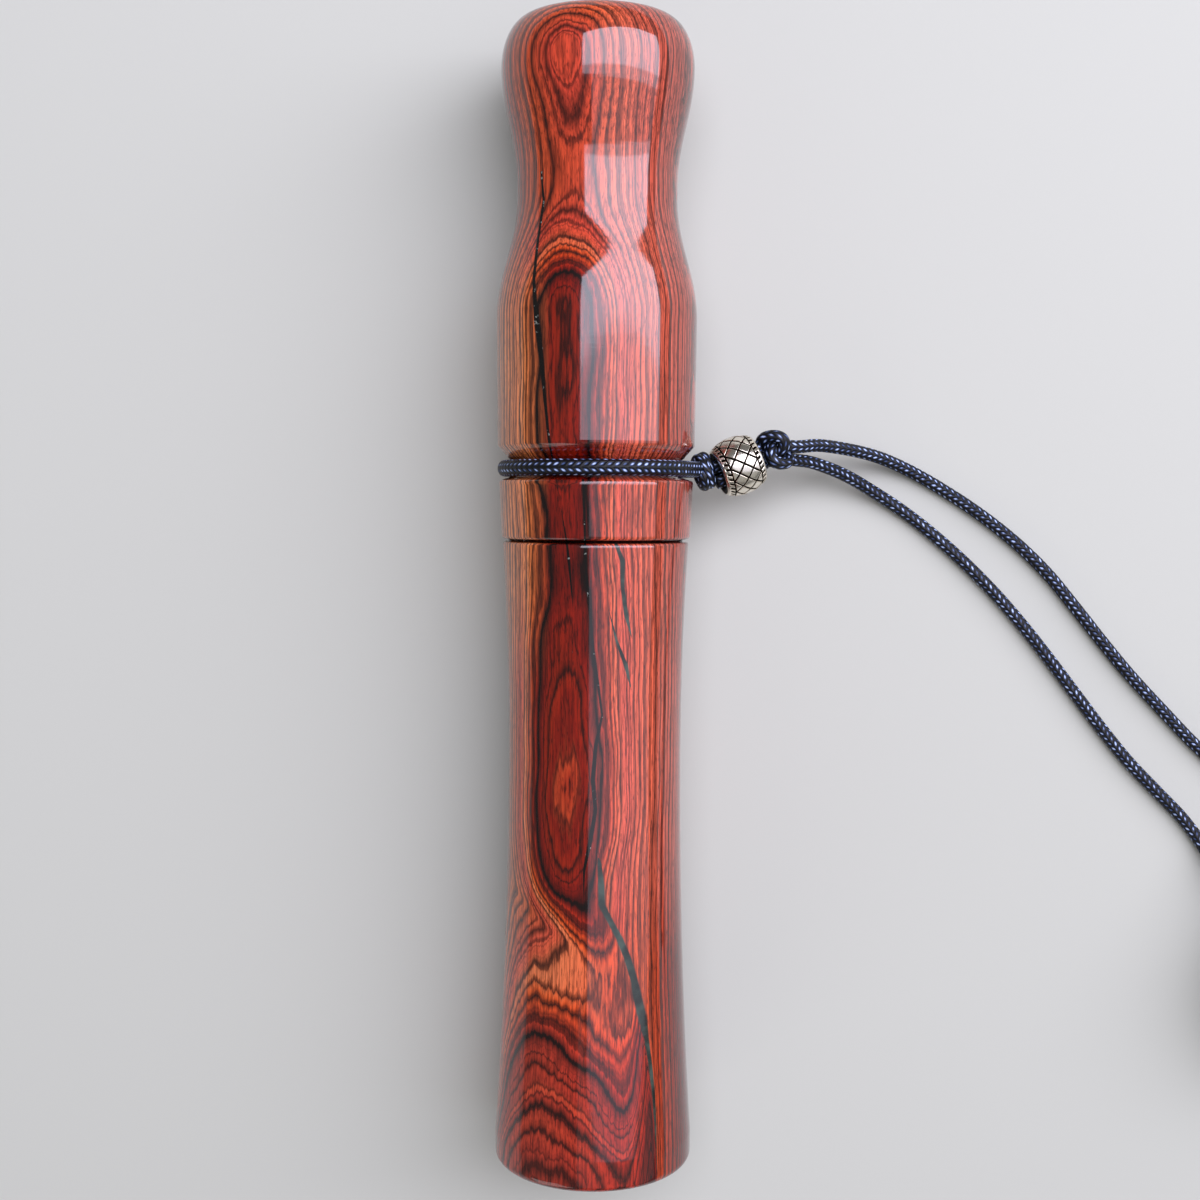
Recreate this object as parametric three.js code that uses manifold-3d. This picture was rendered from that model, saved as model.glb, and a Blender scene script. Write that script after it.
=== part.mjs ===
// A turned wooden grunt call with its tone board, reed and lanyard, in millimetres.
// The call lies on its side along Y, with the end that is blown at +Y and the bell at -Y.
// Z is up, z = 0 is the surface it lies on, and the origin is under the middle of the call.
import * as THREE from 'three';
import { mergeVertices } from 'three/addons/utils/BufferGeometryUtils.js';
import Module from 'manifold-3d';

const wasm = await Module();
wasm.setup();

// Fits and facets
const clearance = 0.3; // gap between pieces that touch
const seamGap = 0.45; // dark line between the two wooden pieces
const turnedSides = 40; // flats around a turned wooden piece
const ringSides = 28; // flats around an O-ring or a moulded piece

// Mouthpiece, outside
const mouthpieceLength = 76.65;
const bulbRadius = 14.42;
const bulbRoundWidth = 4; // how far the end's rounding reaches in from the bulb
const bulbRoundLength = 7;
const bulbToNeck = 17;
const neckRadius = 12;
const neckLength = 2.1;
const neckToBody = 17.8;
const bodyRadius = 15.1;
const bodyFootRadius = 14.9; // just above the lanyard groove
const bandRadius = 14.7; // just below the lanyard groove
const socketRimRadius = 14.3;
const edgeBreak = 0.3; // small chamfer on each turned edge

// Lanyard groove
const grooveHeight = 10.5; // from the socket's face to the middle of the groove
const grooveWidth = 3.5;
const grooveFloorWidth = 1.6;
const grooveBevelLength = 1.6;
const grooveBevelRadius = 13.5;

// Mouthpiece, inside
const throatRadius = 6;
const throatLength = 14;
const lipWidth = 2; // the throat opens out to a rounded lip
const lipLength = 2.5;
const chamberRadius = 8;
const chamberCone = 2;
const socketRadius = 10.3;
const socketRelief = 1.4; // room past the tenon's end

// Bell
const bellLength = 94.9;
const bellTopRadius = 14.08;
const waistRadius = 13.13;
const waistHeight = 64; // from the bell's end
const rimRadius = 15.1;
const rimBand = 3.2;
const rimRound = 1.3;
const bellMouthRadius = 11;
const hornLength = 60;
const exhaustRadius = 5.2;

// Tenon and its two O-rings
const tenonRadius = 9.7;
const tenonLength = 21.1;
const tenonRingThickness = 1.6;
const tenonRingInset = 5; // from each end of the tenon to an O-ring

// Tone board
const baseRadius = 6.2;
const baseLength = 14;
const baseRingThickness = 1.2;
const baseRingInset = 3.6;
const boardBoreRadius = 3.2;
const collarRadius = 7.6;
const collarLength = 6;
const tongueRadius = 5.5;
const tongueLength = 31.7;
const tongueTipLength = 5;
const faceHeight = 0.5; // flat face of the tongue, above the axis
const faceCurveRadius = 280; // the face falls away from the reed along this arc
const troughWidth = 5;
const troughDepth = 3;
const troughStop = 5; // solid tip beyond the trough
const slotBackWall = 1;

// Reed, its cork wedge and the tuning ring
const reedWidth = 9.5;
const reedThickness = 0.4;
const reedSetback = 2; // tip of the reed, short of the tongue's tip
const reedCornerRadius = 2.5;
const wedgeThickness = 2.6;
const wedgeStandout = 0.6;
const tuningRingThickness = 1.2;
const tuningRingPlace = 3.7; // from the collar's front

// Lanyard
const cordDiameter = 2;
const cordSides = 8;
const beadDiameter = 9;
const beadRimDiameter = 7.1;
const beadLength = 6.6;
const beadBoreRadius = 2.45;
const beadStandoff = 6.6; // from the widest wood to the middle of the bead
const beadDrop = 2.87; // the bead hangs below the height of the axis
const beadRise = 0.65; // the bead's middle, past the middle of the groove
const beadTurn = THREE.MathUtils.degToRad(22.7);
const beadDip = THREE.MathUtils.degToRad(8);
const knotPlay = 0.35; // between the bead and the knot at each of its ends
const nooseKnotLength = 3.4;
const nooseKnotDiameter = 5.9;
const nooseKnotShift = 1.2;
const stopperKnotLength = 5.1;
const stopperKnotDiameter = 7.1;

// Neck loop, wound up for storage
const coilCentreX = 120;
const coilCentreY = -62;
const coilInnerRadius = 6.2;
const coilGap = 0.45; // between neighbouring loops
const coilLayers = 4;
const coilSteps = 374;
const stepsPerLoop = 24;
const coilSides = 6;
const coilStartAngle = THREE.MathUtils.degToRad(41);
const tieThickness = 0.6;
const tieWidth = 5;
const tieAngle = THREE.MathUtils.degToRad(300);

// Places along the call that follow from those sizes
const callLength = bellLength + seamGap + mouthpieceLength;
const bellEnd = -callLength / 2;
const shoulder = bellEnd + bellLength;
const socketFace = shoulder + seamGap;
const mouthEnd = socketFace + mouthpieceLength;
const tenonEnd = shoulder + tenonLength;
const socketFloor = tenonEnd + socketRelief;
const throatEnd = mouthEnd - throatLength;
const collarBack = tenonEnd + clearance;
const collarFront = collarBack + collarLength;
const tongueTip = collarFront + tongueLength;
const boardEnd = collarBack - baseLength;
const grooveMiddle = socketFace + grooveHeight;
const cordRadius = cordDiameter / 2;
const nooseRadius = bodyFootRadius - cordRadius;
const grooveFloorRadius = nooseRadius - cordRadius - clearance;
const pocketRadius = baseRadius + 2 * clearance;
const axisHeight = Math.max(bodyRadius, rimRadius) * Math.cos(Math.PI / turnedSides);
const reedBottom = faceHeight + clearance;
const reedTop = reedBottom + reedThickness;
const slotTop = reedTop + wedgeThickness + 2 * clearance;
const slotBack = collarBack + slotBackWall;

const finishes = {
  wood: { color: '#8a3520', roughness: 0.15, metalness: 0 },
  rubber: { color: '#141414', roughness: 0.6, metalness: 0 },
  plastic: { color: '#1b1b1d', roughness: 0.3, metalness: 0 },
  film: { color: '#e6e2d2', roughness: 0.35, metalness: 0 },
  cork: { color: '#b98a5a', roughness: 0.9, metalness: 0 },
  cord: { color: '#141824', roughness: 0.65, metalness: 0 },
  silver: { color: '#b9ad98', roughness: 0.35, metalness: 1 },
  strap: { color: '#16171a', roughness: 0.8, metalness: 0 },
};

function makeMesh(name, geometry, finish) {
  const mesh = new THREE.Mesh(closeGeometry(geometry), new THREE.MeshStandardMaterial(finishes[finish]));
  mesh.name = name;
  return mesh;
}

// Joins a geometry's seams and turns its faces outwards.
function closeGeometry(geometry) {
  geometry.deleteAttribute('normal');
  geometry.deleteAttribute('uv');
  const closed = mergeVertices(geometry, 1e-5);
  const kept = [];
  const index = closed.index.array;
  for (let i = 0; i < index.length; i += 3) {
    const [a, b, c] = index.slice(i, i + 3);
    if (a !== b && b !== c && c !== a) {
      kept.push(a, b, c);
    }
  }
  if (signedVolume(closed, kept) < 0) {
    kept.reverse();
  }
  closed.setIndex(kept);
  closed.computeVertexNormals();
  return closed;
}

function signedVolume(geometry, index) {
  const place = geometry.attributes.position;
  const corner = index.map((i) => new THREE.Vector3().fromBufferAttribute(place, i));
  let volume = 0;
  for (let i = 0; i < corner.length; i += 3) {
    volume += corner[i].dot(corner[i + 1].clone().cross(corner[i + 2])) / 6;
  }
  return volume;
}

function toSolid(geometry) {
  const closed = closeGeometry(geometry);
  const vertProperties = new Float32Array(closed.attributes.position.array);
  const triVerts = new Uint32Array(closed.index.array);
  return new wasm.Manifold(new wasm.Mesh({ numProp: 3, vertProperties, triVerts }));
}

function toGeometry(solid) {
  const mesh = solid.getMesh();
  const geometry = new THREE.BufferGeometry();
  geometry.setAttribute('position', new THREE.BufferAttribute(mesh.vertProperties, 3));
  geometry.setIndex(new THREE.BufferAttribute(mesh.triVerts, 1));
  return geometry;
}

const point = (radius, y) => new THREE.Vector2(radius, y);

// Revolves an outline about Y, with a flat of the faceted round facing straight down.
function turned(outline, sides) {
  return new THREE.LatheGeometry(outline, sides, Math.PI / sides);
}

function turnedRing(outline, sides) {
  return turned([...outline, outline[0]], sides);
}

// An outline's rounded stretch, as part of an ellipse.
function roundStretch(centre, width, length, fromDegrees, toDegrees, steps) {
  return Array.from({ length: steps + 1 }, (_, i) => {
    const angle = THREE.MathUtils.degToRad(THREE.MathUtils.lerp(fromDegrees, toDegrees, i / steps));
    return point(centre.x + width * Math.cos(angle), centre.y + length * Math.sin(angle));
  });
}

// An outline's S-shaped stretch, level at both ends.
function swellStretch(from, to, steps) {
  return Array.from({ length: steps + 1 }, (_, i) => {
    const share = (1 - Math.cos((Math.PI * i) / steps)) / 2;
    return point(THREE.MathUtils.lerp(from.x, to.x, share), THREE.MathUtils.lerp(from.y, to.y, i / steps));
  });
}

// An outline's flared stretch, level where it starts and steepening towards its end.
function flareStretch(from, to, steps) {
  return Array.from({ length: steps + 1 }, (_, i) => {
    const share = (i / steps) ** 2;
    return point(THREE.MathUtils.lerp(from.x, to.x, share), THREE.MathUtils.lerp(from.y, to.y, i / steps));
  });
}

// A square-cut groove that holds an O-ring, with the clearance all round it.
function ringGroove(middle, surfaceRadius, ringRadius, thickness) {
  const halfWidth = thickness / 2 + clearance;
  const floor = ringRadius - thickness / 2 - clearance;
  return [
    point(surfaceRadius, middle - halfWidth),
    point(floor, middle - halfWidth),
    point(floor, middle + halfWidth),
    point(surfaceRadius, middle + halfWidth),
  ];
}

function mouthpiece() {
  const bulbWidest = mouthEnd - bulbRoundLength;
  const neckTop = bulbWidest - bulbToNeck;
  const neckFoot = neckTop - neckLength;
  const bodyTop = neckFoot - neckToBody;
  const grooveTop = grooveMiddle + grooveWidth / 2;
  const grooveFoot = grooveMiddle - grooveWidth / 2;
  const wallInset = (grooveWidth - grooveFloorWidth) / 4;
  const outside = [
    point(socketRimRadius - edgeBreak, socketFace),
    point(socketRimRadius, socketFace + edgeBreak),
    point(bandRadius, grooveFoot - edgeBreak),
    point(bandRadius - edgeBreak, grooveFoot),
    point(grooveFloorRadius + edgeBreak, grooveFoot + wallInset),
    point(grooveFloorRadius, grooveMiddle - grooveFloorWidth / 2),
    point(grooveFloorRadius, grooveMiddle + grooveFloorWidth / 2),
    point(grooveFloorRadius + edgeBreak, grooveTop - wallInset),
    point(grooveBevelRadius, grooveTop),
    point(bodyFootRadius, grooveTop + grooveBevelLength),
    ...swellStretch(point(bodyRadius, bodyTop), point(neckRadius, neckFoot), 7),
    ...swellStretch(point(neckRadius, neckTop), point(bulbRadius, bulbWidest), 6),
    ...roundStretch(
      point(bulbRadius - bulbRoundWidth, bulbWidest), bulbRoundWidth, bulbRoundLength, 18, 90, 4),
  ];
  const inside = [
    ...roundStretch(
      point(throatRadius + lipWidth, mouthEnd - lipLength), lipWidth, lipLength, 90, 180, 3),
    point(throatRadius, throatEnd),
    point(chamberRadius, throatEnd - chamberCone),
    point(chamberRadius, socketFloor),
    point(socketRadius, socketFloor),
    point(socketRadius, socketFace + edgeBreak),
    point(socketRadius + edgeBreak, socketFace),
  ];
  return turnedRing([...outside, ...inside], turnedSides);
}

const tenonRingRadius = socketRadius - clearance - tenonRingThickness / 2;
const tenonRingPlaces = [shoulder + tenonRingInset, tenonEnd - tenonRingInset];

function bell() {
  const waist = bellEnd + waistHeight;
  const rimTop = bellEnd + rimRound + rimBand;
  const pocketFloor = boardEnd - clearance;
  const outside = [
    ...roundStretch(point(rimRadius - rimRound, bellEnd + rimRound), rimRound, rimRound, -90, 0, 3),
    ...flareStretch(point(waistRadius, waist), point(rimRadius, rimTop), 8).reverse(),
    ...flareStretch(point(waistRadius, waist), point(bellTopRadius, shoulder - edgeBreak), 4).slice(1),
    point(bellTopRadius - edgeBreak, shoulder),
    point(tenonRadius, shoulder),
    ...tenonRingPlaces.flatMap((y) => ringGroove(y, tenonRadius, tenonRingRadius, tenonRingThickness)),
    point(tenonRadius, tenonEnd - edgeBreak),
    point(tenonRadius - edgeBreak, tenonEnd),
  ];
  const inside = [
    point(pocketRadius, tenonEnd),
    point(pocketRadius, pocketFloor),
    point(exhaustRadius, pocketFloor),
    ...flareStretch(point(exhaustRadius, bellEnd + hornLength), point(bellMouthRadius, bellEnd), 6),
  ];
  return turnedRing([...outside, ...inside], turnedSides);
}

function oRing(radius, thickness, y) {
  const ring = new THREE.TorusGeometry(radius, thickness / 2, 6, ringSides);
  ring.rotateX(Math.PI / 2);
  ring.translate(0, y, 0);
  return ring;
}

// Extrudes a side view, drawn as (y, z), across the call and centres it on the axis.
function acrossCall(sideView, width) {
  const body = new THREE.ExtrudeGeometry(sideView, { depth: width, bevelEnabled: false, curveSegments: 9 });
  body.translate(0, 0, -width / 2);
  const sideways = new THREE.Matrix4().makeBasis(
    new THREE.Vector3(0, 1, 0), new THREE.Vector3(0, 0, 1), new THREE.Vector3(1, 0, 0));
  return body.applyMatrix4(sideways);
}

const baseRingRadius = pocketRadius - clearance - baseRingThickness / 2;
const baseRingPlaces = [boardEnd + baseRingInset, collarBack - baseRingInset];

// The turned base and collar of the tone board, still without its bore.
function boardBase() {
  const outline = [
    point(0, boardEnd),
    point(baseRadius - edgeBreak, boardEnd),
    point(baseRadius, boardEnd + edgeBreak),
    ...baseRingPlaces.flatMap((y) => ringGroove(y, baseRadius, baseRingRadius, baseRingThickness)),
    point(baseRadius, collarBack),
    point(collarRadius, collarBack),
    point(collarRadius, collarFront - edgeBreak),
    point(collarRadius - edgeBreak, collarFront),
    point(0, collarFront),
  ];
  return toSolid(turned(outline, ringSides));
}

// The half-round tongue: a round bar with a domed tip, cut to a face that falls away in an arc.
function boardTongue() {
  const root = collarFront - collarLength / 2;
  const tipStart = tongueTip - tongueTipLength;
  const bar = toSolid(turned([
    point(0, root),
    point(tongueRadius, root),
    ...roundStretch(point(0, tipStart), tongueRadius, tongueTipLength, 0, 90, 5),
  ], ringSides));
  const arcAngle = Math.asin((tongueLength + 1) / faceCurveRadius);
  const below = new THREE.Shape();
  below.moveTo(root - 1, -tongueRadius - 1);
  below.lineTo(root - 1, faceHeight);
  below.lineTo(collarFront, faceHeight);
  below.absarc(collarFront, faceHeight - faceCurveRadius, faceCurveRadius,
    Math.PI / 2, Math.PI / 2 - arcAngle, true);
  below.lineTo(tongueTip + 1, -tongueRadius - 1);
  return bar.intersect(toSolid(acrossCall(below, 2 * tongueRadius + 2)));
}

// The sound trough that runs under the reed and back into the bore.
function boardTrough() {
  const start = collarBack - boardBoreRadius;
  const end = tongueTip - troughStop;
  const half = troughWidth / 2;
  const plan = new THREE.Shape();
  plan.moveTo(-half, start);
  plan.lineTo(half, start);
  plan.lineTo(half, end - half);
  plan.absarc(0, end - half, half, 0, Math.PI, false);
  const trough = new THREE.ExtrudeGeometry(plan, { depth: troughDepth + 0.2, bevelEnabled: false });
  trough.translate(0, 0, faceHeight - troughDepth);
  return toSolid(trough);
}

function toneBoard() {
  const bore = new THREE.CylinderGeometry(boardBoreRadius, boardBoreRadius, baseLength + 2, 20);
  bore.translate(0, boardEnd - 2 + clearance + (baseLength + 2) / 2, 0);
  const slotLength = collarFront - slotBack + 1;
  const slot = new THREE.BoxGeometry(reedWidth + 2 * clearance, slotLength, slotTop - faceHeight);
  slot.translate(0, slotBack + slotLength / 2, (slotTop + faceHeight) / 2);
  const board = boardBase()
    .add(boardTongue())
    .subtract(toSolid(bore))
    .subtract(boardTrough())
    .subtract(toSolid(slot));
  return toGeometry(board);
}

function reed() {
  const half = reedWidth / 2;
  const start = slotBack + clearance;
  const tip = tongueTip - reedSetback;
  const plan = new THREE.Shape();
  plan.moveTo(-half, start);
  plan.lineTo(half, start);
  plan.lineTo(half, tip - reedCornerRadius);
  plan.absarc(half - reedCornerRadius, tip - reedCornerRadius, reedCornerRadius, 0, Math.PI / 2, false);
  plan.absarc(reedCornerRadius - half, tip - reedCornerRadius, reedCornerRadius, Math.PI / 2, Math.PI, false);
  const blade = new THREE.ExtrudeGeometry(plan,
    { depth: reedThickness, bevelEnabled: false, curveSegments: 4 });
  blade.translate(0, 0, reedBottom);
  return blade;
}

function reedWedge() {
  const bottom = reedTop + clearance;
  const back = slotBack + clearance;
  const front = collarFront + wedgeStandout;
  const sideView = new THREE.Shape();
  sideView.moveTo(back, bottom);
  sideView.lineTo(front, bottom);
  sideView.lineTo(front, bottom + wedgeThickness);
  sideView.lineTo(back + edgeBreak, bottom + wedgeThickness);
  sideView.lineTo(back, bottom + wedgeThickness - edgeBreak);
  return acrossCall(sideView, reedWidth);
}

// A round bar cut flat at a height, as a ring's inside is when it is stretched over tongue and reed.
function flattenedBar(radius, height, length, bevel) {
  const corner = Math.asin((height - bevel) / (radius - bevel));
  const outline = new THREE.Shape();
  outline.absarc(0, 0, radius - bevel, corner, Math.PI - corner, true);
  const bar = new THREE.ExtrudeGeometry(outline, {
    depth: length - 2 * bevel,
    bevelEnabled: bevel > 0,
    bevelThickness: bevel,
    bevelSize: bevel,
    bevelSegments: 1,
    curveSegments: 18,
  });
  bar.translate(0, 0, bevel - length / 2);
  bar.rotateX(Math.PI / 2);
  return toSolid(bar);
}

function tuningRing() {
  const innerRadius = tongueRadius + clearance;
  const innerHeight = reedTop + clearance;
  const bevel = tuningRingThickness / 4;
  const outer = flattenedBar(
    innerRadius + tuningRingThickness, innerHeight + tuningRingThickness, tuningRingThickness, bevel);
  const inner = flattenedBar(innerRadius, innerHeight, 2 * tuningRingThickness, 0);
  const ring = toGeometry(outer.subtract(inner));
  ring.translate(0, collarFront + tuningRingPlace, 0);
  return ring;
}

// A cord along a smooth curve, as a round section swept along it.
function cordAlong(curve, steps) {
  const section = new THREE.Shape();
  for (let i = 0; i < cordSides; i += 1) {
    const angle = (2 * Math.PI * (i + 0.5)) / cordSides;
    const corner = new THREE.Vector2(Math.cos(angle), Math.sin(angle)).multiplyScalar(cordRadius);
    if (i === 0) {
      section.moveTo(corner.x, corner.y);
    } else {
      section.lineTo(corner.x, corner.y);
    }
  }
  return new THREE.ExtrudeGeometry(section, { steps, bevelEnabled: false, extrudePath: curve });
}

const beadCentre = new THREE.Vector3(
  bodyRadius + beadStandoff, grooveMiddle + beadRise, axisHeight - beadDrop);
const beadAxis = new THREE.Vector3(
  Math.cos(beadTurn) * Math.cos(beadDip), Math.sin(beadTurn) * Math.cos(beadDip), -Math.sin(beadDip));
const beadSide = new THREE.Vector3(-Math.sin(beadTurn), Math.cos(beadTurn), 0);
const nooseKnotReach = beadLength / 2 + knotPlay + nooseKnotLength / 2;
const nooseKnotCentre = beadCentre.clone()
  .addScaledVector(beadAxis, -nooseKnotReach)
  .addScaledVector(beadSide, nooseKnotShift);
const stopperKnotCentre = beadCentre.clone()
  .addScaledVector(beadAxis, beadLength / 2 + knotPlay + stopperKnotLength / 2);

// The noose lies in the groove and leaves it on two tangents that meet in the knot.
class NooseCurve extends THREE.Curve {
  constructor() {
    super();
    const across = nooseKnotCentre.x;
    const up = nooseKnotCentre.z - axisHeight;
    this.reach = Math.hypot(across, up);
    this.middle = Math.atan2(up, across);
    this.half = Math.acos(nooseRadius / this.reach);
    this.leg = Math.sqrt(this.reach ** 2 - nooseRadius ** 2) - (nooseKnotDiameter / 2 + cordRadius / 2);
    this.wrap = nooseRadius * (2 * Math.PI - 2 * this.half);
  }

  getPoint(t, target = new THREE.Vector3()) {
    const along = t * (this.wrap + 2 * this.leg) - this.leg;
    const arc = THREE.MathUtils.clamp(along, 0, this.wrap);
    const past = along - arc;
    const angle = this.middle + this.half + arc / nooseRadius;
    return target.set(
      nooseRadius * Math.cos(angle) - past * Math.sin(angle),
      grooveMiddle,
      axisHeight + nooseRadius * Math.sin(angle) + past * Math.cos(angle));
  }
}

// A tight knot, as a rounded barrel whose surface dips between its wraps.
function knot(length, diameter, wraps) {
  const roundness = 2.6;
  const dip = 0.07;
  const steps = 12;
  const outline = Array.from({ length: steps + 1 }, (_, i) => {
    const share = -Math.cos((Math.PI * i) / steps);
    const barrel = Math.max(0, 1 - Math.abs(share) ** roundness) ** (1 / roundness);
    const lobes = 1 - dip * (1 + Math.cos(Math.PI * wraps * (share + 1)));
    return point((diameter / 2) * barrel * lobes, (length / 2) * share);
  });
  return turned(outline, 16);
}

// A barrel bead with a raised band at each rim and a straight bore for two cords.
function bead() {
  const half = beadLength / 2;
  const bandWidth = 0.7;
  const bandStep = 0.25;
  const rim = beadRimDiameter / 2;
  const belly = beadDiameter / 2;
  const bellyRadius = (half ** 2 + (belly - rim) ** 2) / (2 * (belly - rim));
  const barrelRadius = (y) => belly - bellyRadius + Math.sqrt(bellyRadius ** 2 - y ** 2);
  const innerHalf = half - bandWidth;
  const middle = Array.from({ length: 9 }, (_, i) => {
    const y = THREE.MathUtils.lerp(-innerHalf, innerHalf, i / 8);
    return point(barrelRadius(y) - bandStep, y);
  });
  return turnedRing([
    point(beadBoreRadius, -half),
    point(rim - bandStep, -half),
    point(rim, -half + bandStep),
    point(barrelRadius(innerHalf), -innerHalf),
    ...middle,
    point(barrelRadius(innerHalf), innerHalf),
    point(rim, half - bandStep),
    point(rim - bandStep, half),
    point(beadBoreRadius, half),
  ], 24);
}

function alongBeadAxis(mesh, centre) {
  mesh.quaternion.setFromUnitVectors(new THREE.Vector3(0, 1, 0), beadAxis);
  mesh.position.copy(centre);
  return mesh;
}

// The two cords that run side by side through the bead.
function beadCord(name, side) {
  const offset = side * (cordRadius + clearance / 2);
  const reach = beadLength / 2 + knotPlay - clearance;
  const ends = [-reach, reach].map((along) => beadCentre.clone()
    .addScaledVector(beadAxis, along)
    .addScaledVector(beadSide, offset));
  return makeMesh(name, cordAlong(new THREE.LineCurve3(ends[0], ends[1]), 2), 'cord');
}

const coilPitch = cordDiameter + coilGap;
const layerLoops = coilSteps / stepsPerLoop / coilLayers;
const coilBase = tieThickness + clearance + cordRadius;

// The coil's centreline: a spiral in and a spiral out by turns, each a layer above the last.
function coilPoint(loops) {
  const share = (loops / layerLoops) % 2;
  const inward = share < 1 ? share : 2 - share;
  const radius = coilInnerRadius + coilPitch * layerLoops * (1 - inward);
  const angle = coilStartAngle - 2 * Math.PI * loops;
  let height = coilBase;
  for (let layer = 1; layer < coilLayers; layer += 1) {
    height += coilPitch * THREE.MathUtils.clamp(2 * (loops - layer * layerLoops) + 0.5, 0, 1);
  }
  return new THREE.Vector3(
    coilCentreX + radius * Math.cos(angle), coilCentreY + radius * Math.sin(angle), height);
}

// The coil's straight end, one diameter long, along the tangent of its outermost loop.
function coilLead(loops, direction) {
  const angle = coilStartAngle - 2 * Math.PI * loops;
  return coilPoint(loops).add(
    new THREE.Vector3(Math.sin(angle), -Math.cos(angle), 0).multiplyScalar(direction * cordDiameter));
}

const allLoops = coilSteps / stepsPerLoop;
const coilStart = coilLead(0, -1);
const coilEnd = coilLead(allLoops, 1);
const coilRoute = [
  coilStart,
  ...Array.from({ length: coilSteps + 1 }, (_, i) => coilPoint(i / stepsPerLoop)),
  coilEnd,
];

// The least gap between stretches of the coil that are more than a quarter of a loop apart.
function leastCoilGap() {
  const skip = stepsPerLoop / 4;
  let least = Infinity;
  for (let i = 0; i < coilRoute.length; i += 1) {
    for (let j = i + skip; j < coilRoute.length; j += 1) {
      least = Math.min(least, coilRoute[i].distanceTo(coilRoute[j]));
    }
  }
  return least - cordDiameter;
}

// One unbroken tube through the coil's points, each ring upright and square to the route.
function coil() {
  const up = new THREE.Vector3(0, 0, 1);
  const corners = [];
  coilRoute.forEach((centre, i) => {
    const before = coilRoute[Math.max(i - 1, 0)];
    const after = coilRoute[Math.min(i + 1, coilRoute.length - 1)];
    const side = after.clone().sub(before).cross(up).normalize();
    for (let k = 0; k < coilSides; k += 1) {
      const angle = (2 * Math.PI * (k + 0.5)) / coilSides;
      const corner = centre.clone()
        .addScaledVector(side, cordRadius * Math.cos(angle))
        .addScaledVector(up, cordRadius * Math.sin(angle));
      corners.push(corner.x, corner.y, corner.z);
    }
  });
  const faces = [];
  for (let i = 0; i + 1 < coilRoute.length; i += 1) {
    for (let k = 0; k < coilSides; k += 1) {
      const a = i * coilSides + k;
      const b = i * coilSides + ((k + 1) % coilSides);
      faces.push(a, b, a + coilSides, b, b + coilSides, a + coilSides);
    }
  }
  const last = (coilRoute.length - 1) * coilSides;
  for (let k = 1; k + 1 < coilSides; k += 1) {
    faces.push(0, k + 1, k);
    faces.push(last, last + k, last + k + 1);
  }
  const tube = new THREE.BufferGeometry();
  tube.setAttribute('position', new THREE.Float32BufferAttribute(corners, 3));
  tube.setIndex(faces);
  return tube;
}

// The strap round the coil's turns: it passes through the coil's eye and under its loops.
function coilTie() {
  const innerFace = coilInnerRadius - cordRadius;
  const near = Math.sqrt(innerFace ** 2 - (tieWidth / 2) ** 2) - clearance;
  const far = coilInnerRadius + coilPitch * layerLoops + cordRadius + clearance;
  const low = coilBase - cordRadius - clearance;
  const high = coilBase + coilPitch * (coilLayers - 1) + cordRadius + clearance;
  const rectangle = (target, grow) => {
    target.moveTo(near - grow, low - grow);
    target.lineTo(far + grow, low - grow);
    target.lineTo(far + grow, high + grow);
    target.lineTo(near - grow, high + grow);
    target.closePath();
    return target;
  };
  const outline = rectangle(new THREE.Shape(), tieThickness);
  outline.holes.push(rectangle(new THREE.Path(), 0));
  const strap = new THREE.ExtrudeGeometry(outline, { depth: tieWidth, bevelEnabled: false });
  strap.translate(0, 0, -tieWidth / 2);
  strap.rotateX(Math.PI / 2);
  strap.rotateZ(tieAngle);
  strap.translate(coilCentreX, coilCentreY, 0);
  return strap;
}

const place = (x, y, z) => new THREE.Vector3(x, y, z);
const fromKnot = (x, y, z) => stopperKnotCentre.clone().add(place(x, y, z));

// Each route leaves the knot, droops to the surface and runs on along it to the coil.
const upperRoute = [
  fromKnot(3.6, 0.5, -0.9),
  fromKnot(8, 0.9, -3.6),
  place(43, 22.6, 4),
  place(49, 20.5, 1.7),
  place(55.2, 17.2, 1),
  place(61.7, 13, 1),
  place(67.6, 8.4, 1),
  place(72.6, 3.6, 1),
  place(77, -1.6, 1),
  place(81.4, -7, 1),
  place(85.9, -12.3, 1),
  place(90.8, -17.5, 1),
  place(97.7, -24.5, 1),
  place(105.5, -31.2, 1.1),
  place(114, -37.4, 1.5),
  place(122.4, -43.2, 1.9),
];
const lowerRoute = [
  fromKnot(2.7, -1.4, -2.6),
  fromKnot(6.3, -1.7, -4.3),
  place(39, 19.4, 4.2),
  place(44.5, 16.5, 1.9),
  place(50.1, 12.9, 1),
  place(55.3, 8.8, 1),
  place(59.9, 4.7, 1),
  place(64.2, 0.4, 1),
  place(68.4, -4.3, 1),
  place(72.8, -9.7, 1),
  place(77.3, -15.5, 1),
  place(81.8, -21.3, 1),
  place(86.3, -26.7, 1),
  place(91, -31.5, 1),
  place(95.4, -36, 1),
  place(99, -41, 1.5),
  place(101.6, -47, 4),
  place(103, -53, 7.2),
];

// A strand from the knot to the coil, ending square to the coil's straight end.
function strand(name, route, coilTip, coilNext) {
  const away = coilTip.clone().sub(coilNext).normalize();
  const end = coilTip.clone().addScaledVector(away, clearance);
  const before = coilTip.clone().addScaledVector(away, clearance + 2 * cordDiameter);
  const curve = new THREE.CatmullRomCurve3([...route, before, end], false, 'catmullrom', 0.5);
  return makeMesh(name, cordAlong(curve, 34), 'cord');
}

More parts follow.
